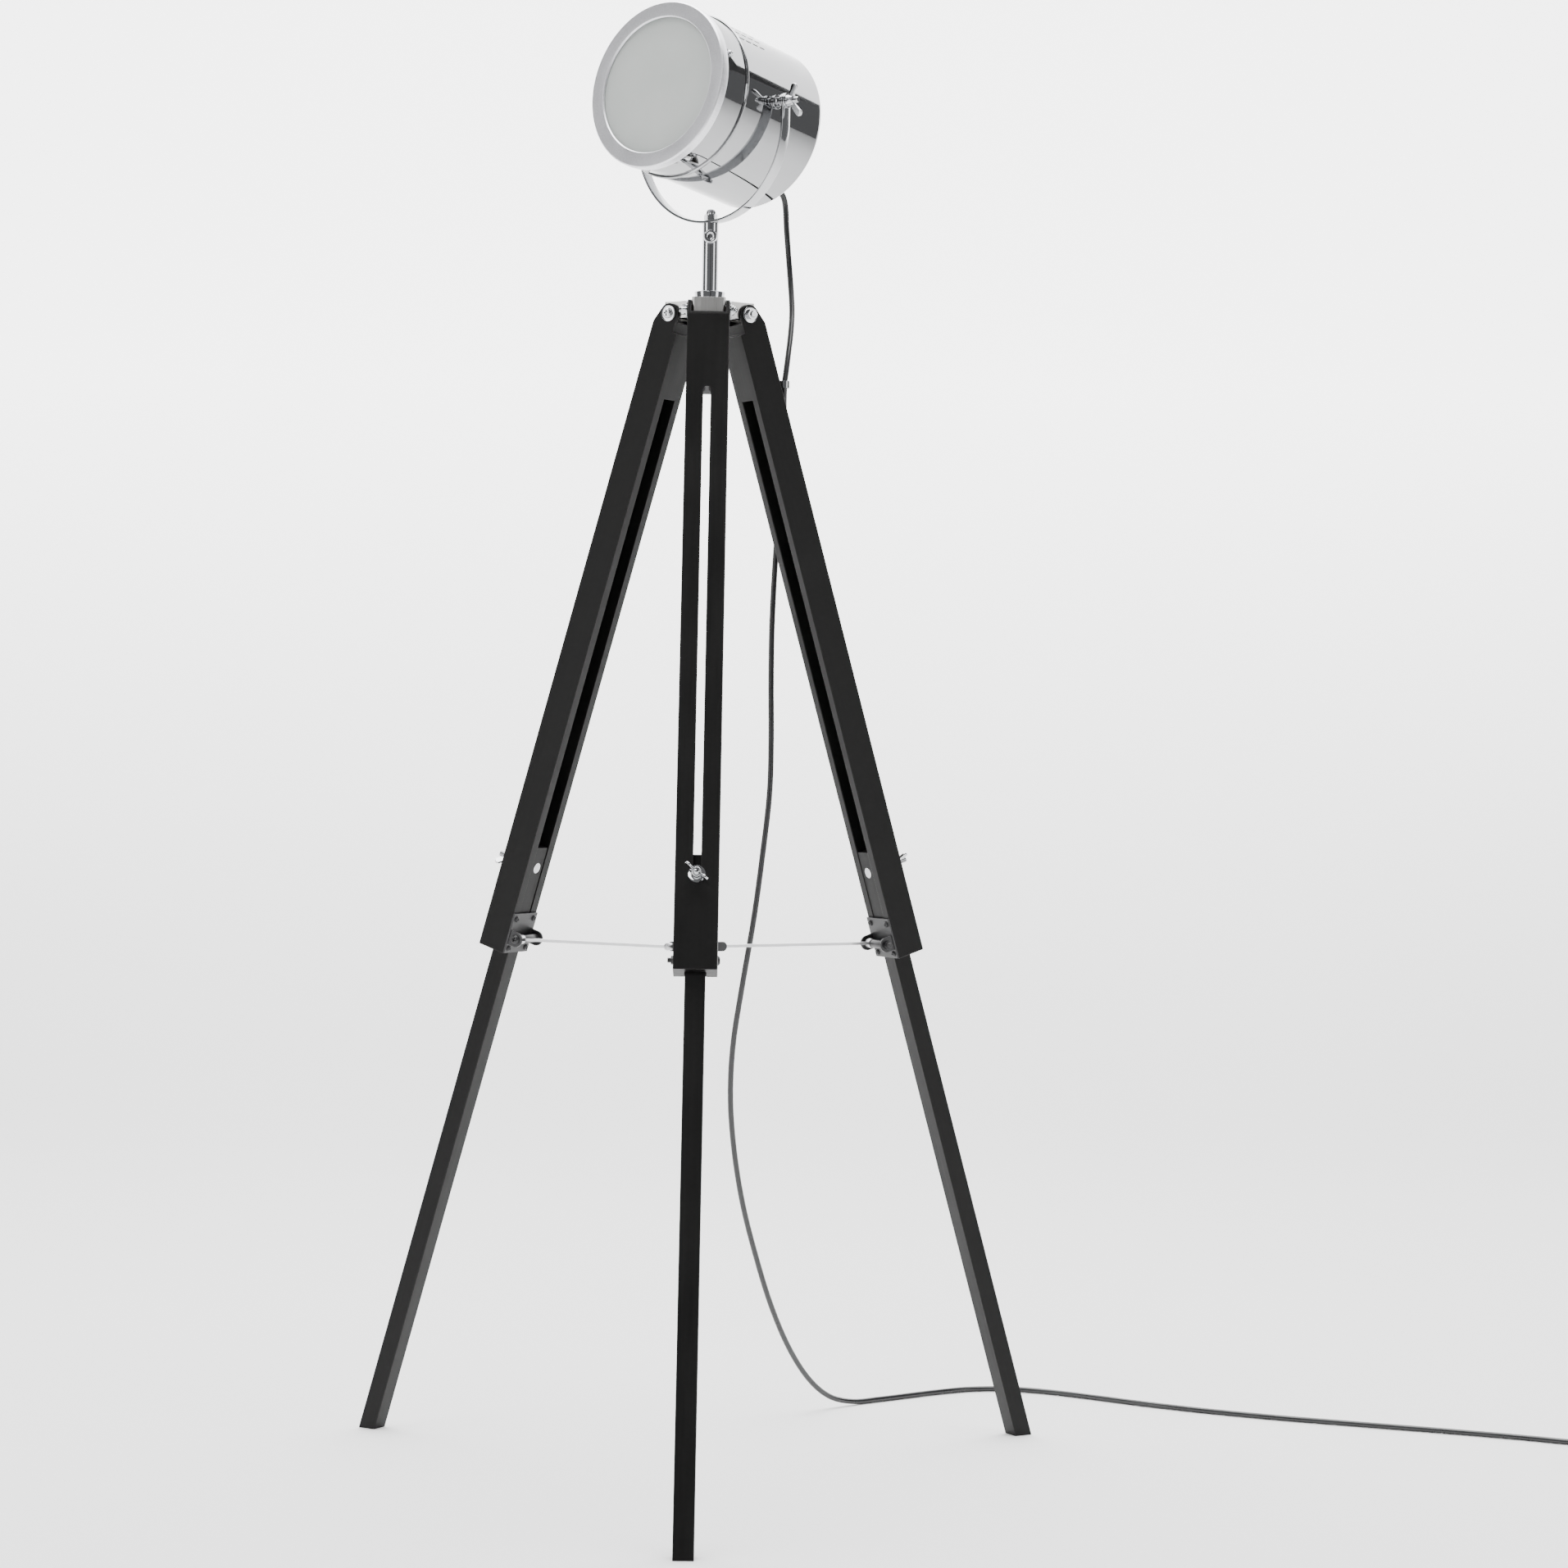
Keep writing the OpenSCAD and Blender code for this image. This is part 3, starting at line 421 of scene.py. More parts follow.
class Piece:
    """One visible piece, made of turned, cut and bent shapes in its own place."""

    def __init__(self, name, place=Matrix()):
        self.name = name
        self.place = place
        self.flat_faced = False
        self.form = bmesh.new()

    def _loft(self, rings, closed):
        """Joins rings of equal or single vertices one after another."""
        pairs = list(zip(rings, rings[1:]))
        if closed:
            pairs.append((rings[-1], rings[0]))
        around = max(len(r) for r in rings)
        for low, high in pairs:
            for i in range(around):
                k = (i + 1) % around
                corners = [low[i % len(low)], low[k % len(low)], high[k % len(high)], high[i % len(high)]]
                face = list(dict.fromkeys(corners))
                if len(face) > 2:
                    self.form.faces.new(face)

    def turned(self, outline, place=Matrix(), around=96, closed=False):
        """Turned round z from (radius, height) points."""
        rings = []
        for radius, height in outline:
            if radius < 1e-7:
                rings.append([self.form.verts.new(place @ Vector((0, 0, height)))])
                continue
            angles = [2 * math.pi * i / around for i in range(around)]
            ring = [place @ Vector((radius * math.cos(a), radius * math.sin(a), height)) for a in angles]
            rings.append([self.form.verts.new(p) for p in ring])
        self._loft(rings, closed)
        return self

    def block(self, low, high, ease=0.5 * MM, place=Matrix(), segments=2):
        """A bar between two corners, with eased edges."""
        low, high = Vector(low), Vector(high)
        middle = shift(*((low + high) / 2))
        size = Matrix.Diagonal((*(high - low), 1))
        made = bmesh.ops.create_cube(self.form, size=1, matrix=place @ middle @ size)
        edges = list({e for v in made["verts"] for e in v.link_edges})
        if ease:
            bmesh.ops.bevel(self.form, geom=edges, offset=ease, segments=segments,
                            affect="EDGES", profile=0.5)
        return self

    def plate(self, outline, thick, ease=0.3 * MM, place=Matrix(), segments=2):
        """A flat outline in x and y, thickened up z, with eased rims."""
        steps = [(0, ease), (ease, 0), (thick - ease, 0), (thick, ease)]
        if segments > 2:
            steps = [(0, ease), (0.3 * ease, 0.3 * ease), (ease, 0), (thick - ease, 0),
                     (thick - 0.3 * ease, 0.3 * ease), (thick, ease)]
        outline = [Vector(p[:2]) for p in outline]
        count = len(outline)
        inward = []
        for i in range(count):
            along = (outline[(i + 1) % count] - outline[i - 1]).normalized()
            inward.append(Vector((-along.y, along.x)))
        rings = []
        for height, inset in steps:
            ring = [p + n * inset for p, n in zip(outline, inward)]
            rings.append([self.form.verts.new(place @ Vector((p.x, p.y, height))) for p in ring])
        self._loft(rings, False)
        self.form.faces.new(list(reversed(rings[0])))
        self.form.faces.new(rings[-1])
        return self

    def tube(self, path, radius, around=16, cap=True):
        """A round bar or tube that follows a path. radius may be one for each point."""
        path = [Vector(p) for p in path]
        count = len(path)
        if not hasattr(radius, "__len__"):
            radius = [radius] * count
        along = [(path[min(i + 1, count - 1)] - path[max(i - 1, 0)]).normalized() for i in range(count)]
        side = along[0].orthogonal().normalized()
        rings = []
        for point, way, r in zip(path, along, radius):
            side = (side - way * side.dot(way)).normalized()
            other = way.cross(side)
            angles = [2 * math.pi * i / around for i in range(around)]
            ring = [point + r * (math.cos(a) * side + math.sin(a) * other) for a in angles]
            rings.append([self.form.verts.new(p) for p in ring])
        self._loft(rings, False)
        if cap:
            self.form.faces.new(list(reversed(rings[0])))
            self.form.faces.new(rings[-1])
        return self

    def copied(self, node, ease, segments=2, sharp=25):
        """A CAD node's own shape with its sharp edges eased."""
        self.form.from_mesh(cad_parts[node].data)
        bmesh.ops.remove_doubles(self.form, verts=self.form.verts, dist=1e-6)
        bmesh.ops.dissolve_limit(self.form, angle_limit=math.radians(1), verts=self.form.verts,
                                 edges=self.form.edges)
        bmesh.ops.transform(self.form, matrix=self.place.inverted(), verts=self.form.verts)
        if ease:
            limit = math.radians(sharp)
            edges = [e for e in self.form.edges if len(e.link_faces) == 2 and e.calc_face_angle() > limit]
            bmesh.ops.bevel(self.form, geom=edges, offset=ease, segments=segments, affect="EDGES",
                            profile=0.5, clamp_overlap=True)
            self.flat_faced = True
        return self

    def made(self, body, finish, slot=None, smooth=35, stands_for=()):
        """The finished object, riding on its body."""
        bmesh.ops.recalc_face_normals(self.form, faces=self.form.faces)
        mesh = bpy.data.meshes.new(self.name)
        self.form.to_mesh(mesh)
        self.form.free()
        mesh.polygons.foreach_set("use_smooth", [True] * len(mesh.polygons))
        mesh.set_sharp_from_angle(angle=math.radians(smooth))
        mesh.materials.append(finish)
        thing = bpy.data.objects.new(self.name, mesh)
        bpy.context.scene.collection.objects.link(thing)
        thing.matrix_world = self.place
        if self.flat_faced:
            shade_flat_faces(thing)
        if body:
            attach(thing, body)
        if stands_for:
            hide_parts(*stands_for)
        return thing


# ---- Screws and nuts ----


def along(axis_way, start):
    """A place with z along x, y, -x or -y, at a point."""
    ways = {"x": turn(90, "Y"), "-x": turn(-90, "Y"), "y": turn(-90, "X"), "-y": turn(90, "X")}
    return shift(*start) @ ways[axis_way]


def bolt_rod(piece, radius, start, end, pitch=1.0 * MM, place=Matrix(), around=20):
    """A round bar along z with a cut thread and eased ends."""
    outline = [(0, start), (radius - 0.5 * MM, start)]
    height = start + 0.5 * MM
    while height < end - 0.6 * MM:
        outline += [(radius, height), (radius, height + 0.25 * pitch), (0.9 * radius, height + 0.6 * pitch)]
        height += pitch
    outline += [(radius - 0.5 * MM, end), (0, end)]
    piece.turned(outline, place, around)


def washer(piece, outer, inner, start, end, place=Matrix(), around=48):
    ring = [(inner, start), (outer, start), (outer, end), (inner, end)]
    piece.turned(eased(ring, 0.35 * MM, 2, closed=True), place, around, closed=True)


def hexagon(piece, flats, bore, start, end, place=Matrix()):
    """A hexagon nut with turned corners and a countersunk bore."""
    corner = flats / 2 / math.cos(math.pi / 6)
    rings = []
    for height, reach, keep in ((start, 0.93, bore + 0.5 * MM), (start, 0.93, None),
                                (start + 0.07 * flats, 1.0, None), (end - 0.07 * flats, 1.0, None),
                                (end, 0.93, None), (end, 0.93, bore + 0.5 * MM),
                                (end - 0.5 * MM, 1.0, bore), (start + 0.5 * MM, 1.0, bore)):
        ring = []
        for i in range(48):
            a = 2 * math.pi * i / 48
            to_flat = corner * math.cos(math.pi / 6) / math.cos((a % (math.pi / 3)) - math.pi / 6)
            r = keep if keep else min(to_flat, corner * reach)
            ring.append(piece.form.verts.new(place @ Vector((r * math.cos(a), r * math.sin(a), height))))
        rings.append(ring)
    piece._loft(rings, True)


def cross_head(piece, radius, height, place=Matrix()):
    """A domed screw head with a cross cut into it."""
    around = 64
    rings = []
    outline = eased([(radius, 0), (radius, 0.45 * height), (0.62 * radius, height), (0, height * 1.02)],
                    0.35 * height, 5)
    outline = [(radius - 0.15 * MM, 0), *outline]
    steps = [(p[0], p[1]) for p in outline if p[0] > 0.62 * radius]
    steps += [(radius * k, height * (1.02 - 0.05 * k * k)) for k in (0.6, 0.5, 0.4, 0.3, 0.2, 0.12, 0.06)]
    for r, z in steps:
        ring = []
        for i in range(around):
            a = 2 * math.pi * i / around
            x, y = r * math.cos(a), r * math.sin(a)
            arm = min(abs(x), abs(y))
            reach = max(abs(x), abs(y))
            cut = 0.0
            if reach < 0.52 * radius and arm < 0.14 * radius:
                cut = 0.55 * height * min(1.0, (0.14 * radius - arm) / (0.05 * radius))
                cut *= min(1.0, (0.52 * radius - reach) / (0.08 * radius))
            ring.append(piece.form.verts.new(place @ Vector((x, y, z - cut))))
        rings.append(ring)
    rings.append([piece.form.verts.new(place @ Vector((0, 0, 0.45 * height)))])
    piece._loft(rings, False)


def wing_nut(name, place, body, bolt_radius, span, node):
    """A cast wing nut: a coned barrel with two rounded wings."""
    piece = Piece(name, place)
    barrel = 2 * bolt_radius
    tall = 2.6 * bolt_radius
    bore = bolt_radius + 0.1 * MM
    outline = [(bore, 0), (barrel, 0), (0.8 * barrel, tall), (bore, tall)]
    piece.turned(eased(outline, 0.7 * MM, 3, closed=True), Matrix(), 48, closed=True)
    tip = span / 2 - 4 * MM
    for side in (1, -1):
        centres = ((0.45 * barrel, 0.5 * tall, 0.33 * tall),
                   (0.75 * barrel + 0.25 * tip, 0.9 * tall, 2.6 * MM),
                   (tip, 1.42 * tall, 3.9 * MM))
        rings = []
        for thick, grow in ((-1.3, -0.8), (-1.15, -0.25), (-0.75, 0), (0.75, 0), (1.15, -0.25), (1.3, -0.8)):
            ring = []
            for i in range(40):
                a = 2 * math.pi * i / 40
                way = Vector((math.cos(a), math.sin(a)))
                best = max(centres, key=lambda c: Vector(c[:2]).dot(way) + c[2])
                point = Vector(best[:2]) + way * (best[2] + grow * MM)
                x, y, z = side * point.x, thick * MM, point.y
                ring.append(piece.form.verts.new(Vector((x, y, z))))
            rings.append(ring)
        piece._loft(rings, False)
        piece.form.faces.new(list(reversed(rings[0])))
        piece.form.faces.new(rings[-1])
    return piece.made(body, CHROME, "chrome", stands_for=(node,))


# ---- Legs ----


def upper_leg(side):
    piece = Piece(f"upper_leg_{side}_shaped", LEG[side]).copied(f"upper_leg_{side}", 1.1 * MM, 3)
    return piece.made(f"leg_{side}", WOOD, "black_wood", stands_for=(f"upper_leg_{side}",))


def lower_leg(side):
    piece = Piece(f"lower_leg_{side}_shaped", LEG[side]).copied(f"lower_leg_{side}", 0.8 * MM, 3)
    return piece.made(f"foot_{side}", LOWER_WOOD, "black_wood", stands_for=(f"lower_leg_{side}",))


CLAMP_HEIGHT = -0.605
LEG_FACE = 0.016


def leg_clamp(side):
    """Carriage bolt, washer and wing nut that hold the sliding leg."""
    place = LEG[side] @ shift(0, 0, CLAMP_HEIGHT)
    bolt = Piece(f"clamp_bolt_{side}_turned", place)
    bolt_rod(bolt, 3 * MM, -0.0122, LEG_FACE + 0.018, 1 * MM, along("x", (0, 0, 0)))
    head = [(0, -0.0152), (0.0056, -0.0152), (0.0058, -0.0149), (0.0058, -0.0122), (0, -0.0122)]
    bolt.turned(head, along("x", (0, 0, 0)), 40)
    washer(bolt, 8.75 * MM, 3.0 * MM, LEG_FACE + 0.3 * MM, LEG_FACE + 1.8 * MM, along("x", (0, 0, 0)), 64)
    bolt.made(f"foot_{side}", CHROME, "chrome", stands_for=(f"clamp_bolt_{side}",))
    nut_place = place @ shift(LEG_FACE + 1.9 * MM, 0, 0) @ turn(90, "Y") @ turn(52, "Z")
    wing_nut(f"wing_nut_{side}_cast", nut_place, f"clamp_nut_{side}", 3 * MM, 28 * MM, f"wing_nut_{side}")


def leg_top(side):
    """Bent strap between the cheeks, and the pivot bolt with its washers and nut."""
    bracket = Piece(f"top_bracket_{side}_formed", PIVOT[side]).copied(f"top_bracket_{side}", 0.45 * MM, 3)
    bracket.made("root", NICKEL, "satin_nickel", stands_for=(f"top_bracket_{side}",))
    face = 0.0218
    bolt = Piece(f"pivot_bolt_{side}_turned", PIVOT[side])
    way = along("y", (0, 0, 0))
    bolt_rod(bolt, 3 * MM, -face - 0.0085, face + 0.001, 1 * MM, way)
    cross_head(bolt, 5.5 * MM, 3.5 * MM, along("y", (0, face + 1.5 * MM, 0)))
    for near, far in ((face, face + 1.5 * MM), (-face - 1.5 * MM, -face)):
        washer(bolt, 8.5 * MM, 3.0 * MM, near, far, way, 64)
    hexagon(bolt, 10 * MM, 3.0 * MM, -face - 6.5 * MM, -face - 1.6 * MM, way)
    bolt.made("root", CHROME, "chrome", stands_for=(f"pivot_bolt_{side}",))


def spreader(side):
    """Bracket, cross bolt and strut of one leg."""
    bracket = Piece(f"spreader_bracket_{side}_formed", LEG[side])
    bracket.copied(f"spreader_bracket_{side}", 0.4 * MM, 2)
    bracket.made(f"leg_{side}", BLACK_METAL, "black_metal", stands_for=(f"spreader_bracket_{side}",))
    reach = -0.026
    drop = -0.681
    bolt = Piece(f"spreader_bolt_{side}_turned", LEG[side])
    way = along("y", (reach, 0, drop))
    bolt_rod(bolt, 2.5 * MM, -0.028, 0.0205, 0.8 * MM, way)
    cross_head(bolt, 5 * MM, 3.2 * MM, along("y", (reach, 0.0205, drop)))
    hexagon(bolt, 8 * MM, 2.5 * MM, -0.0245, -0.0206, way)
    washer(bolt, 4.5 * MM, 2.5 * MM, -0.0185, 0.0077, way, 32)
    washer(bolt, 4.5 * MM, 2.5 * MM, 0.0163, 0.0185, way, 32)
    for y in (-0.016125, 0.016125):
        for s in (-0.694, -0.661):
            cross_head(bolt, 3.25 * MM, 2 * MM, along("-x", (-0.018, y, s)))
    bolt.made(f"leg_{side}", BLACK_METAL, "black_metal", stands_for=(f"spreader_bolt_{side}",))
    azimuth = {"front": -90, "right": 30, "left": 150}[side]
    strut = Piece(f"strut_{side}_rolled", turn(azimuth, "Z") @ shift(0, 0, 0.54279))
    strut.copied(f"strut_{side}", 0.35 * MM, 2)
    strut.made(f"strut_{side}", STRUT_STEEL, "strut_steel", stands_for=(f"strut_{side}",))


for leg_side in SIDES:
    upper_leg(leg_side)
    lower_leg(leg_side)
    leg_clamp(leg_side)
    leg_top(leg_side)
    spreader(leg_side)

centre = Piece("spreader_centre_cast", shift(0, 0, 0.54279)).copied("spreader_centre", 0.35 * MM, 2)
centre.made("spreader_centre", BLACK_METAL, "black_metal", stands_for=("spreader_centre",))

# ---- Hub and stem ----

HUB_HEIGHT = 1.197
hub = Piece("hub_turned", shift(0, 0, HUB_HEIGHT)).copied("hub", 0.5 * MM, 3)
hub.made("root", NICKEL, "satin_nickel", stands_for=("hub",))

collar = Piece("hub_collar_turned", shift(0, 0, HUB_HEIGHT + 0.017))
collar.turned(eased([(8.3 * MM, 0), (15.25 * MM, 0), (16 * MM, 8.5 * MM), (8.3 * MM, 8.5 * MM)],
                    0.8 * MM, 4, closed=True), Matrix(), 128, closed=True)
collar.made("root", CHROME, "chrome", stands_for=("hub_collar",))

stem = Piece("stem_drawn").copied("stem", 0)
stem.made("root", CHROME, "chrome", stands_for=("stem",))

screws = Piece("bracket_screws_turned")
for azimuth in (-90, 30, 150):
    lug = turn(azimuth, "Z") @ shift(20 * MM, 0, 1.2045)
    across = lug @ along("y", (0, 0, 0))
    bolt_rod(screws, 2 * MM, -17.4 * MM, 20.3 * MM, 0.7 * MM, across)
    cross_head(screws, 3.5 * MM, 2 * MM, lug @ along("-y", (0, -17.4 * MM, 0)))
    hexagon(screws, 7 * MM, 2.0 * MM, 17.4 * MM, 20.0 * MM, across)
screws.made("root", CHROME, "chrome", stands_for=("bracket_screws",))

LOCK_HEIGHT = STEM_TOP - 0.015
lock = Piece("lock_screw_turned", shift(0, 0, LOCK_HEIGHT) @ turn(-90, "Z") @ turn(90, "Y"))
lock.turned([(0, 6.6 * MM), (2.4 * MM, 6.6 * MM), (2.4 * MM, 8.75 * MM), (6.4 * MM, 8.75 * MM),
             (6.9 * MM, 9.0 * MM), (7.0 * MM, 9.5 * MM), (7.0 * MM, 14.9 * MM), (6.85 * MM, 15.6 * MM),
             (6.3 * MM, 16.1 * MM), (5.6 * MM, 16.25 * MM), (4.2 * MM, 16.2 * MM), (3.6 * MM, 15.9 * MM)],
            Matrix(), 72)
socket_rings = []
for depth, reach in ((15.9, 3.6), (15.5, 3.15), (12.4, 3.0), (12.3, 2.0), (12.2, 0)):
    if reach == 0:
        socket_rings.append([lock.form.verts.new((0, 0, depth * MM))])
        continue
    socket_ring = []
    for i in range(72):
        a = 2 * math.pi * i / 72
        flat = reach * math.cos(math.pi / 6) / math.cos((a % (math.pi / 3)) - math.pi / 6)
        r = reach if depth > 15.8 else flat
        socket_ring.append(lock.form.verts.new((r * MM * math.cos(a), r * MM * math.sin(a), depth * MM)))
    socket_rings.append(socket_ring)
lock._loft(socket_rings, False)
lock.made("lock_screw", CHROME, "chrome", stands_for=("lock_screw",))

# ---- Yoke ----

YOKE_MID = 0.09675
YOKE_RISE = 0.02


def yoke():
    """A flat strip bent to a U, its ends rounded about the tilt pivots."""
    piece = Piece("yoke_bent", YOKE_PLACE)
    stations = []
    for i in range(14):
        h = 8 * math.sin(math.pi / 2 * (1 - i / 13))
        stations.append((Vector((YOKE_MID, 0, h * MM)), Vector((1, 0, 0)), h))
    for i in range(1, 8):
        stations.append((Vector((YOKE_MID, 0, -YOKE_RISE * i / 8)), Vector((1, 0, 0)), -20 * i / 8))
    for i in range(97):
        a = math.pi * i / 96
        out = Vector((math.cos(a), 0, -math.sin(a)))
        stations.append((out * YOKE_MID + Vector((0, 0, -YOKE_RISE)), out, -50))
    back = [(Vector((-p.x, 0, p.z)), Vector((-1, 0, 0)), h) for p, _, h in reversed(stations[:21])]
    rings = []
    for point, out, height in [*stations, *back]:
        half = 6.5
        if height > -8:
            round_end = math.sqrt(max(0.0, 64 - height * height))
            half = round_end if height > 0 else max(6.5, round_end)
        half = max(half, 0.4) * MM
        corner = min(0.6 * MM, half * 0.8)
        thick = 1.25 * MM
        ring = []
        for sx, sy in ((1, 1), (-1, 1), (-1, -1), (1, -1)):
            for s in range(4):
                t = math.pi / 2 * s / 3
                cx, cy = math.cos(t), math.sin(t)
                if sx * sy < 0:
                    cx, cy = cy, cx
                x = sx * (thick - corner + corner * cx)
                y = sy * (half - corner + corner * cy)
                ring.append(piece.form.verts.new(point + out * x + Vector((0, y, 0))))
        rings.append(ring)
    piece._loft(rings, False)
    piece.form.faces.new(rings[0])
    piece.form.faces.new(rings[-1])
    return piece.made("yoke", CHROME, "chrome", smooth=40, stands_for=("yoke",))


yoke()

spigot = Piece("pan_spigot_turned", shift(0, 0, STEM_TOP))
spigot.turned([(0, -34 * MM), (5.8 * MM, -34 * MM), (6.3 * MM, -33.4 * MM), (6.3 * MM, -17.5 * MM),
               (5.7 * MM, -17 * MM), (5.7 * MM, -13 * MM), (6.3 * MM, -12.5 * MM), (6.3 * MM, -0.6 * MM),
               (4.0 * MM, -0.5 * MM), (4.0 * MM, 12 * MM), (0, 12.4 * MM)], Matrix(), 64)
spigot.made("yoke", NICKEL, "satin_nickel", stands_for=("pan_spigot",))

acorn = Piece("acorn_nut_turned", shift(0, 0, STEM_TOP + 2.8 * MM))
hexagon(acorn, 12 * MM, 4.0 * MM, 0, 6.5 * MM)
acorn.turned([(5.4 * MM, 6.3 * MM), (5.35 * MM, 7.0 * MM), (5.2 * MM, 8.4 * MM), (4.75 * MM, 9.9 * MM),
              (4.0 * MM, 11.0 * MM), (2.9 * MM, 11.65 * MM), (1.5 * MM, 11.95 * MM), (0, 12.0 * MM)],
             Matrix(), 64)
acorn.made("yoke", CHROME, "chrome", stands_for=("acorn_nut",))

# ---- Head ----

DRUM_REAR = 78.0
BEZEL_FOOT = 81.0


def mm(points):
    return [(x * MM, y * MM) for x, y in points]


def drum():
    """The drum's sheet with its rolled bead and cooling slots."""
    shell = [(83.8, -72), (85, -72), (85, -40), (85, 6), (85, 46.4), (85.2, 46.9), (85.8, 47.3),
             (86.5, 47.7), (86.8, 48.5), (86.5, 49.3), (85.8, 49.8), (85.0, 50.0), (83.8, 50.0),
             (83.8, 46), (83.8, 6), (83.8, -40)]
    piece = Piece("drum_rolled", DRUM_PLACE)
    piece.turned(mm(shell), Matrix(), 256, closed=True)
    thing = piece.made("head", MIRROR, "mirror_chrome", smooth=50, stands_for=("drum",))
    cutter = Piece("slot_punch", DRUM_PLACE)
    for side in (-1, 1):
        for row in range(3):
            for col in range(4):
                place = shift(0, 0, (6 + 11 * col) * MM) @ turn(90 + side * (34 + 7 * row), "Z")
                outline = []
                for i in range(24):
                    a = 2 * math.pi * i / 24
                    end = 3.2 if math.cos(a) > 0 else -3.2
                    outline.append((1.3 * math.sin(a) * MM, (end + 1.3 * math.cos(a)) * MM))
                cutter.plate(list(reversed(outline)), 8 * MM, 0.01 * MM,
                             place @ shift(81 * MM, 0, 0) @ turn(90, "Y") @ turn(90, "Z"))
        place = turn(90 * side, "Z")
        circle = [(3.1 * MM * math.cos(a), 3.1 * MM * math.sin(a))
                  for a in (2 * math.pi * i / 32 for i in range(32))]
        cutter.plate(circle, 8 * MM, 0.01 * MM, turn(0 if side > 0 else 180, "Z")
                     @ shift(81 * MM, 0, 0) @ turn(90, "Y"))
    punch = cutter.made(None, MIRROR)
    punch.data.materials.clear()
    cut = thing.modifiers.new("slots", "BOOLEAN")
    cut.object = punch
    cut.solver = "EXACT"
    bpy.context.view_layer.update()
    graph = bpy.context.evaluated_depsgraph_get()
    cut_mesh = bpy.data.meshes.new_from_object(thing.evaluated_get(graph))
    thing.modifiers.clear()
    thing.data = cut_mesh
    bpy.data.objects.remove(punch)
    true_round(cut_mesh)
    return thing


def true_round(mesh):
    """Shades the turned walls as true cylinders round z, whatever was cut into them."""
    normals = []
    for face in mesh.polygons:
        middle = Vector((face.center.x, face.center.y, 0))
        wall = abs(face.normal.z) < 0.02 and abs(middle.length - 0.0844) < 0.0008
        facing = face.normal.dot(middle.normalized()) if wall else 0
        for corner in face.loop_indices:
            at = mesh.vertices[mesh.loops[corner].vertex_index].co
            if abs(facing) > 0.97:
                way = Vector((at.x, at.y, 0)).normalized()
                normals.append(way if facing > 0 else -way)
            else:
                normals.append(Vector(mesh.corner_normals[corner].vector))
    mesh.normals_split_custom_set(normals)


drum()

cap = Piece("rear_cap_spun", DRUM_PLACE @ shift(0, 0, -DRUM_REAR * MM))
cap_line = [(0, 0), (20, 0), (40, 0), (55, 0), (57, 0.0), (58.2, 0.9), (59.4, 1.1), (60.6, 0.9), (61.8, 0),
            (70, 0), (79, 0)]
cap_line += [(79 + 6 * math.sin(math.radians(t)), 6 - 6 * math.cos(math.radians(t)))
             for t in range(9, 91, 9)]
cap_line += [(83.8, 6), (83.6, 4), (82, 2), (79, 1.2), (0, 1.2)]
cap.turned(mm(cap_line), Matrix(), 256)
cap.made("head", MIRROR, "mirror_chrome", smooth=50, stands_for=("rear_cap",))

front_collar = Piece("front_collar_rolled", DRUM_PLACE)
front_collar.turned(mm([(84.5, 50), (84.5, 52), (84.5, 65), (84.5, 79), (84.3, 80.4), (83.9, 81), (82.1, 81),
                        (82.1, 52), (82.1, 50), (79.6, 49.5), (79.6, 42), (83.2, 42), (83.2, 50)]),
                    Matrix(), 256, closed=True)
front_collar.made("head", MIRROR, "mirror_chrome", smooth=50, stands_for=("front_collar",))

bezel = Piece("bezel_turned", DRUM_PLACE @ shift(0, 0, BEZEL_FOOT * MM))
bezel_line = [(70.5, 7.5), (70.5, 8.6), (71.6, 9.9), (85.6, 9.9), (87, 8.6), (87, 0.6), (86.4, 0), (82.1, 0),
              (82.1, -10), (80.5, -10), (80.5, 1), (74.8, 1), (74.8, 7.5)]
bezel.turned(eased(mm(bezel_line), 0.5 * MM, 3, closed=True), Matrix(), 256, closed=True)
bezel.made("head", BEZEL, "satin_bezel", smooth=40, stands_for=("bezel",))

lens = Piece("lens_ground", DRUM_PLACE @ shift(0, 0, 84.2 * MM))
lens.turned(mm([(0, 0), (73.6, 0), (74.5, 0.6), (74.5, 3.2), (74.2, 3.8), (73.6, 4.0), (60, 4.25), (40, 4.6),
                (20, 4.8), (0, 4.85)]), Matrix(), 192)
lens.made("head", FROSTED, "frosted_glass", smooth=40, stands_for=("lens",))

collar_screws = Piece("collar_screws_turned", DRUM_PLACE)
for angle in (20, 140, 260):
    outward = turn(angle, "Z") @ shift(84.5 * MM, 0, 74 * MM) @ turn(90, "Y")
    cross_head(collar_screws, 3.5 * MM, 2.6 * MM, outward)
    bolt_rod(collar_screws, 1.5 * MM, -6.5 * MM, 0.2 * MM, 0.6 * MM, outward)
collar_screws.made("head", CHROME, "chrome", stands_for=("collar_screws",))

bowl = Piece("reflector_spun", DRUM_PLACE @ shift(0, 0, (BEZEL_FOOT + 0.7 - 62) * MM))
bowl_line = [(33 + 38.5 * math.sqrt(i / 24), 62 * i / 24) for i in range(25)]
bowl_line += [(80, 62), (80, 60.6), (72.5, 60.6)]
bowl_line += [(34 + 38.5 * math.sqrt(i / 24), 62 * i / 24 - 1) for i in range(23, -1, -1)]
bowl.turned(mm(bowl_line), Matrix(), 128, closed=True)
bowl.made("head", ALUMINIUM, "reflector", stands_for=("reflector",))

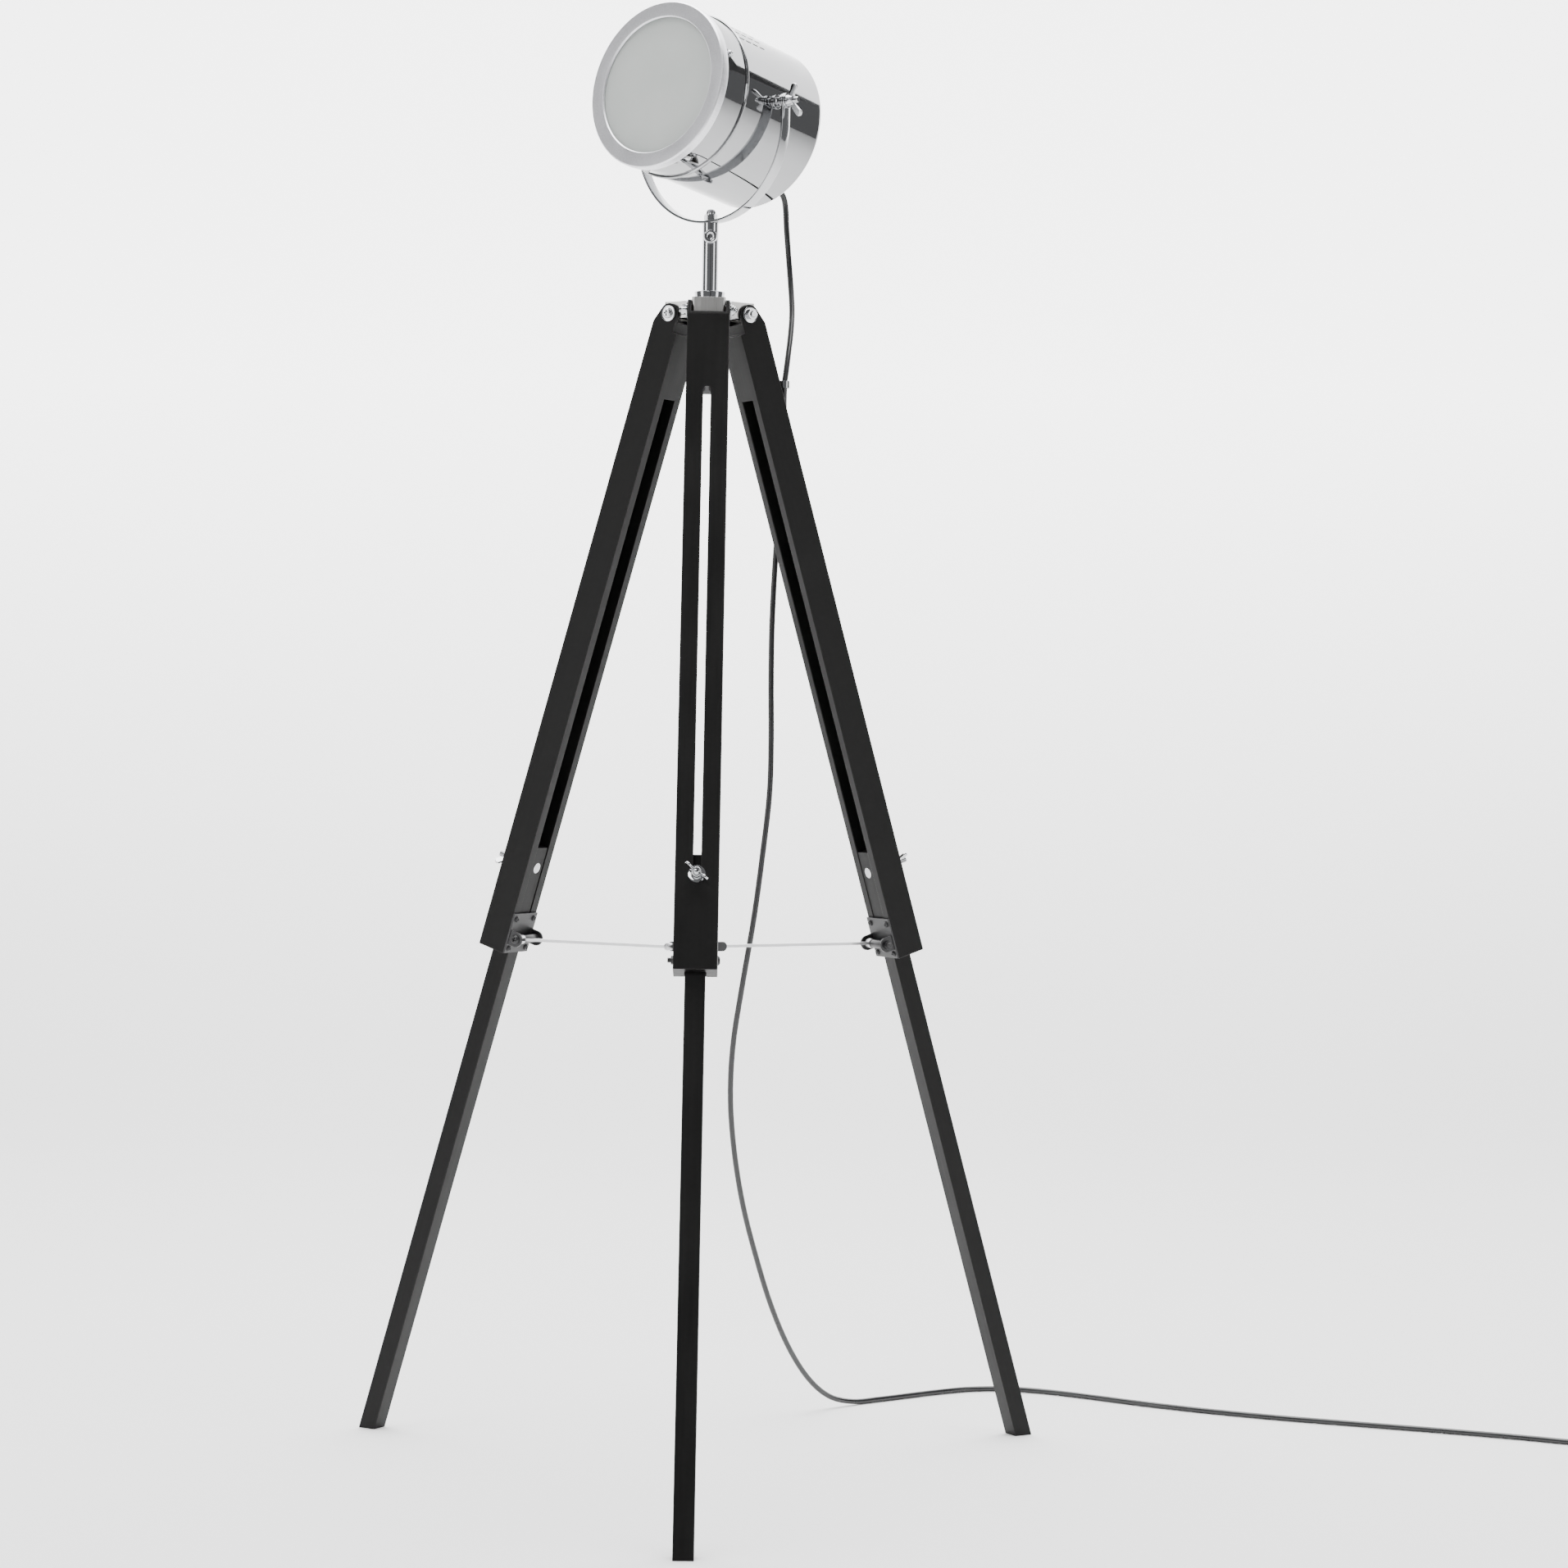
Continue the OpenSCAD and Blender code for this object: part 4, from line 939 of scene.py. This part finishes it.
holder = Piece("lamp_holder_moulded", DRUM_PLACE @ shift(0, 0, -38 * MM))
holder_line = [(0, 0), (19, 0), (19, 10), (18.2, 10.6), (19, 11.2), (19, 31), (13.6, 31), (13.6, 3), (0, 3)]
holder.turned(eased(mm(holder_line), 0.4 * MM, 2), Matrix(), 96)
holder.made("head", HOLDER_WHITE, "holder_plastic", stands_for=("lamp_holder",))

strap = Piece("holder_bracket_bent", DRUM_PLACE).copied("holder_bracket", 0.25 * MM, 2)
strap.made("head", NICKEL, "satin_nickel", stands_for=("holder_bracket",))

globe = Piece("bulb_blown", DRUM_PLACE @ shift(0, 0, -34.5 * MM))
globe_line = [(0, 0), (4, 0.2), (5, 2), (12, 3), (12.9, 4)]
for i in range(6):
    globe_line += [(13, 5 + 3.4 * i), (12.3, 6.7 + 3.4 * i)]
globe_line += [(13, 26), (13, 28), (14, 33), (16.5, 39), (22, 46), (26.5, 53), (29.4, 60), (30, 66),
               (29.2, 73), (26.4, 80), (21.5, 86.5), (14, 91.5), (7, 93.9), (0, 94.5)]
globe.turned(mm(globe_line), Matrix(), 96)
globe.made("head", OPAL, "opal_glass", smooth=60, stands_for=("bulb",))

# ---- Tilt pivots ----

tilt = Piece("tilt_bolts_turned", HEAD_PLACE)
for side in (1, -1):
    outward = turn(0 if side > 0 else 180, "Z") @ turn(90, "Y")
    bolt_rod(tilt, 3 * MM, 79.5 * MM, 113.5 * MM, 1 * MM, outward, 32)
    washer(tilt, 6.0 * MM, 2.9 * MM, 79.2 * MM, 83.2 * MM, outward)
    washer(tilt, 7.5 * MM, 2.9 * MM, 85.1 * MM, 86.6 * MM, outward, 64)
    hexagon(tilt, 9.4 * MM, 2.9 * MM, 86.7 * MM, 91.4 * MM, outward)
    washer(tilt, 5.0 * MM, 2.9 * MM, 91.5 * MM, 93.5 * MM, outward)
    washer(tilt, 7.5 * MM, 2.9 * MM, 93.6 * MM, 95.2 * MM, outward, 64)
    washer(tilt, 7.5 * MM, 2.9 * MM, 98.3 * MM, 99.8 * MM, outward, 64)
tilt.made("head", CHROME, "chrome", stands_for=("tilt_bolts",))
for side, angle, label in ((1, 25, "right"), (-1, -40, "left")):
    facing = turn(90 if side > 0 else -90, "Y")
    nut_place = HEAD_PLACE @ shift(side * 99.9 * MM, 0, 0) @ facing @ turn(angle * side, "Z")
    wing_nut(f"tilt_nut_{label}_cast", nut_place, f"tilt_nut_{label}", 3 * MM, 34 * MM, f"tilt_nut_{label}")

# ---- Switch, gland and clip ----

toggle = Piece("toggle_body_turned", DRUM_PLACE @ shift(0, 46 * MM, -DRUM_REAR * MM))
hexagon(toggle, 15 * MM, 5.6 * MM, -2.5 * MM, -0.1 * MM)
bolt_rod(toggle, 5.8 * MM, -2.0 * MM, 1.5 * MM, 0.8 * MM)
bush = [(4.0, 0.5), (4.0, -6.6), (4.4, -7.0), (5.4, -7.0), (5.8, -6.6), (5.8, -5.9), (5.3, -5.5),
        (5.8, -5.1),
        (5.8, -4.5), (5.3, -4.1), (5.8, -3.7), (5.8, -3.1), (5.3, -2.7), (5.8, -2.3), (5.8, 0.5)]
toggle.turned(mm(bush), Matrix(), 64, closed=True)
toggle.block((-7 * MM, -11 * MM, 1.3 * MM), (7 * MM, 11 * MM, 19.3 * MM), 0.6 * MM)
toggle.made("head", CHROME, "chrome", stands_for=("toggle_body",))

lever = Piece("toggle_lever_turned", DRUM_PLACE @ shift(0, 46 * MM, -(DRUM_REAR + 3) * MM) @ turn(15, "X"))
lever_line = [(0, 3), (1.5, 2.6), (2.6, 1.5), (3, 0), (2.7, -1.2), (2.35, -3), (1.9, -8), (1.6, -12),
              (1.8, -13.2), (2.3, -14), (2.55, -15.2), (2.3, -16.4), (1.5, -17.2), (0, -17.5)]
lever.turned(mm(lever_line), Matrix(), 48)
lever.made("toggle", CHROME, "chrome", smooth=60, stands_for=("toggle_lever",))

gland = Piece("cord_gland_moulded", DRUM_PLACE @ shift(0, -50 * MM, -DRUM_REAR * MM))
relief_line = [(3.15, 5.2), (7.5, 5.2), (7.5, 1.3), (4.9, 1.3), (4.9, -0.1), (7.0, -0.1), (7.5, -0.6),
               (7.5, -5.4), (7.0, -6.0), (6.4, -6.1)]
for i in range(7):
    z = -6.4 - 2.2 * i
    r = 6.3 - 0.3 * i
    relief_line += [(r, z), (r, z - 1.3), (r - 0.7, z - 1.5), (r - 0.7, z - 2.0)]
relief_line += [(4.3, -21.9), (3.15, -22)]
gland.turned(mm(relief_line), Matrix(), 64, closed=True)
gland_thing = gland.made("head", BLACK_PLASTIC, "black_plastic", smooth=30, stands_for=("cord_gland",))

clip = Piece("cord_clip_pressed", LEG["right"] @ shift(0, 0, -80 * MM)).copied("cord_clip", 0.2 * MM, 2)
clip.made("leg_right", CHROME, "chrome", stands_for=("cord_clip",))

# ---- Cord ----

CORD_RADIUS = 3.1 * MM
GLAND_MOUTH = (0.0577, 0.0718, 1.3481)
CLIP_AT = (0.079, 0.029, 1.131)

lead_line = curve_through([
    GLAND_MOUTH, (0.064, 0.079, 1.347), (0.071, 0.087, 1.342), (0.076, 0.093, 1.334), (0.078, 0.096, 1.322),
    (0.079, 0.096, 1.304), (0.081, 0.094, 1.280), (0.084, 0.086, 1.246), (0.086, 0.072, 1.214),
    (0.085, 0.057, 1.188), (0.082, 0.040, 1.158), CLIP_AT], 6)
main_line = curve_through([
    CLIP_AT, (0.079, 0.036, 1.104), (0.081, 0.050, 1.082), (0.081, 0.067, 1.058), (0.078, 0.083, 1.028),
    (0.075, 0.092, 0.990), (0.072, 0.099, 0.940), (0.070, 0.104, 0.880), (0.070, 0.107, 0.820),
    (0.071, 0.110, 0.760), (0.070, 0.113, 0.700), (0.063, 0.116, 0.630), (0.055, 0.119, 0.565),
    (0.044, 0.124, 0.495), (0.035, 0.134, 0.430), (0.033, 0.148, 0.370), (0.038, 0.168, 0.310),
    (0.048, 0.192, 0.250), (0.063, 0.220, 0.190), (0.080, 0.249, 0.133), (0.100, 0.280, 0.082),
    (0.123, 0.311, 0.041), (0.148, 0.338, 0.015), (0.176, 0.362, 0.0045), (0.207, 0.384, 0.0034),
    (0.242, 0.409, 0.0034), (0.278, 0.434, 0.0034), (0.316, 0.454, 0.0034), (0.358, 0.458, 0.0034),
    (0.402, 0.444, 0.0034), (0.450, 0.415, 0.0034), (0.510, 0.374, 0.0034), (0.575, 0.336, 0.0034),
    (0.650, 0.300, 0.0034), (0.740, 0.265, 0.0034), (0.830, 0.231, 0.0034), (0.910, 0.198, 0.0034),
    (0.957, 0.175, 0.0034), (0.999, 0.161, 0.0034)], 6)

COIL = Vector((1.015, 0.122, 0))
COIL_INNER = 0.0309
COIL_OUTER = 0.0372
COIL_LOW = 0.0034
COIL_HIGH = 0.0097
COIL_START = 71.6
COIL_SWEEP = COIL_START + 3 * 360


def eased_step(at, start, end):
    t = min(1.0, max(0.0, (at - start) / (end - start)))
    return t * t * (3 - 2 * t)


def coil_line():
    """Three and a bit turns, clockwise from above: out, in, up, and out again over the first."""
    points = []
    travelled = 0.0
    while travelled <= COIL_SWEEP:
        in_out = 1 - eased_step(travelled, 270, 330) + eased_step(travelled, 930, 990)
        radius = COIL_INNER + (COIL_OUTER - COIL_INNER) * in_out
        radius += 0.0028 * eased_step(travelled, 1060, COIL_SWEEP)
        height = COIL_LOW + (COIL_HIGH - COIL_LOW) * eased_step(travelled, 600, 660)
        a = math.radians(COIL_START - travelled)
        points.append(COIL + Vector((radius * math.cos(a), radius * math.sin(a), height)))
        travelled += 5.0
    tail = curve_through([points[-1], (1.0548, 0.1165, 0.0093), (1.0532, 0.1105, 0.0083),
                          (1.0522, 0.104, 0.0074), (1.052, 0.098, 0.0073), (1.052, 0.088, 0.0073)], 4)
    return points + tail[1:]


def cord_run(name, line, node):
    """One run of the cord as a tube, bending between two bodies."""
    piece = Piece(name).tube(line, CORD_RADIUS, 20)
    thing = piece.made(None, CORD_BLACK, "cord_black", smooth=60)
    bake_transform(thing)
    if node:
        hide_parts(*node)
    return thing


def length_of(line):
    return sum((b - a).length for a, b in zip(line, line[1:]))


def nearest(line, height):
    return min(range(len(line)), key=lambda i: abs(line[i].z - height))


upper_end = nearest(lead_line, 1.304)
middle_end = nearest(lead_line, 1.188)
lead_upper = cord_run("head_lead_upper", lead_line[:upper_end + 1],
                      ("head_lead",))
lead_middle = cord_run("head_lead_middle", lead_line[upper_end:middle_end + 1],
                       ())
lead_lower = cord_run("head_lead_lower", lead_line[middle_end:],
                      ())
floor_line = main_line + coil_line()
main_cord = cord_run("main_cord_run", floor_line,
                     ("main_cord", "cord_coil"))

plug = Piece("plug_moulded", shift(1.052, 0.098, 0.0073))
sleeve = [(3.15, 6), (3.9, 6), (4.1, 5.2)]
for i in range(8):
    z = 4.8 - 2.6 * i
    r = 4.1 + 0.2 * i
    sleeve += [(r, z), (r, z - 1.7), (r - 0.6, z - 1.9), (r - 0.6, z - 2.4)]
sleeve += [(5.4, -16), (3.15, -16)]
plug.turned(mm(sleeve), turn(-90, "X"), 48, closed=True)
plug.block((-7 * MM, -36.5 * MM, -6.9 * MM), (7 * MM, -15 * MM, 6.9 * MM), 2.4 * MM, segments=5)
plug.block((-13 * MM, -42 * MM, -7 * MM), (13 * MM, -36 * MM, 7 * MM), 2.2 * MM, segments=5)
for i in range(4):
    y = -20 - 3.6 * i
    plug.block((-7.5 * MM, (y - 1) * MM, -4.6 * MM), (7.5 * MM, y * MM, 4.6 * MM), 0.4 * MM)
plug_thing = plug.made("root", BLACK_PLASTIC, "black_plastic", smooth=40, stands_for=("plug",))

pins = Piece("plug_pins_turned", shift(1.052, 0.038, 0.0073))
for x in (-9, 9):
    pins.turned(mm([(0, 0), (1.2, 0.1), (1.8, 0.7), (2.0, 1.6), (2.0, 12), (2.0, 22), (0, 22)]),
                shift(x * MM, 0, 0) @ turn(-90, "X"), 40)
pins_thing = pins.made("root", CHROME, "chrome", smooth=60, stands_for=("plug_pins",))

tie = Piece("coil_tie", shift(*COIL) @ turn(40, "Z"))
band = [(27.5, 0.05), (40.6, 0.05), (40.6, 13.05), (27.5, 13.05)]
band_inner = [(27.75, 0.28), (40.35, 0.28), (40.35, 12.82), (27.75, 12.82)]
tie_rings = []
for y, inset in ((-4, 0), (4, 0)):
    for ring_points in ((band, band_inner) if y < 0 else (band_inner, band)):
        ring = eased(mm(ring_points), 3 * MM, 6, closed=True)
        tie_rings.append([tie.form.verts.new((p[0], y * MM, p[1])) for p in ring])
tie._loft([tie_rings[0], tie_rings[1], tie_rings[2], tie_rings[3]], True)
tie_thing = tie.made("root", BLACK_PLASTIC, "black_plastic")

length_of(lead_line[:upper_end + 1])
length_of(lead_line[upper_end:middle_end + 1])
length_of(lead_line[middle_end:])
length_of(floor_line)

# ---- Room and light ----


def plain(name, shade, rough):
    f = Finish(name)
    cloud = f.noise(1.5, 3.0)
    tone = f.between(cloud, colour(shade, shade, shade), colour(0.97 * shade, 0.97 * shade, 0.97 * shade))
    return f.set(Base_Color=tone, Roughness=rough, Specular_IOR_Level=0.2)


def paper(name):
    """White studio paper with a painted glow, none at the floor and full where it hangs, standing in for
    light from behind.
    """
    f = Finish(name)
    cloud = f.noise(1.5, 3.0)
    tone = f.between(cloud, colour(0.9, 0.9, 0.9), colour(0.87, 0.87, 0.87))
    here = f.node("ShaderNodeTexCoord", {}, {}, "Object")
    height = f.node("ShaderNodeSeparateXYZ", {}, {0: here}, "Z")
    # Painted glow: the paper gives off light, rising with height, though it is no lamp.
    glow = f.between(f.spread(height, 0.0, 1.6, 0, 1), colour(0, 0, 0), colour(1, 1, 1))
    return f.set(Base_Color=tone, Roughness=0.75, Specular_IOR_Level=0.1, Emission_Color=glow,
                 Emission_Strength=3.6)


def paper_sweep():
    """The pale floor, which curves up into the backdrop far behind the lamp."""
    piece = Piece("floor")
    line = [(-9.0, 0.0), (2.5, 0.0)]
    line += [(2.5 + 2.5 * math.sin(math.radians(t)), 2.5 - 2.5 * math.cos(math.radians(t)))
             for t in range(6, 91, 6)]
    line += [(5.0, 9.0)]
    rows = [[piece.form.verts.new((x, y, z)) for x in (-12, 12)] for y, z in line]
    for near, far in zip(rows, rows[1:]):
        piece.form.faces.new((near[0], near[1], far[1], far[0]))
    piece.made(None, paper("studio_paper"), smooth=60)


def light(name, at, towards, size, power, tint=(1, 1, 1)):
    data = bpy.data.lights.new(name, "AREA")
    data.shape = "RECTANGLE"
    data.size, data.size_y = size
    data.energy = power
    data.color = tint
    lamp = bpy.data.objects.new(name, data)
    bpy.context.scene.collection.objects.link(lamp)
    lamp.location = at
    lamp.rotation_euler = (Vector(towards) - Vector(at)).to_track_quat("-Z", "Y").to_euler()
    return lamp


def dark_panel(name, at, towards, width, height, shade):
    """A studio flag, which the chrome picks up as a dark band."""
    piece = Piece(name, Matrix.Translation(at) @ (Vector(towards) - Vector(at)).to_track_quat(
        "-Z", "Y").to_matrix().to_4x4())
    half_w, half_h = width / 2, height / 2
    piece.form.faces.new([piece.form.verts.new(p) for p in ((-half_w, -half_h, 0), (half_w, -half_h, 0),
                                                            (half_w, half_h, 0), (-half_w, half_h, 0))])
    panel = piece.made(None, plain(name + "_cloth", shade, 0.9))


paper_sweep()
world = bpy.data.worlds.new("studio")
bpy.context.scene.world = world
world.use_nodes = True
world.node_tree.nodes["Background"].inputs["Color"].default_value = (0.97, 0.98, 1.0, 1)
world.node_tree.nodes["Background"].inputs["Strength"].default_value = 0.22
light("left_box", (-3.2, -1.9, 1.3), (0, 0, 0.9), (1.2, 2.4), 34)
light("right_box", (3.2, -1.9, 1.1), (0, 0, 0.8), (1.2, 2.2), 24)
light("top_box", (0, 0.4, 4.6), (0, 0.2, 0), (4.5, 4.5), 560)
light("front_box", (-1.2, -4.6, 3.2), (0, 0, 1.0), (1.6, 1.0), 30)
dark_panel("drum_flag", (2.4, 0.2, 2.6), (0, 0, 1.4), 1.3, 0.5, 0.03)
dark_panel("drum_flag_low", (1.9, -2.6, 1.75), (0, 0, 1.4), 0.5, 0.3, 0.05)
dark_panel("stem_flag", (0.5, -3.9, 1.5), (0, 0, 1.3), 0.5, 2.0, 0.01)
dark_panel("floor_flag", (1.6, -1.5, 0.35), (0, 0, 1.4), 0.08, 1.2, 0.02)
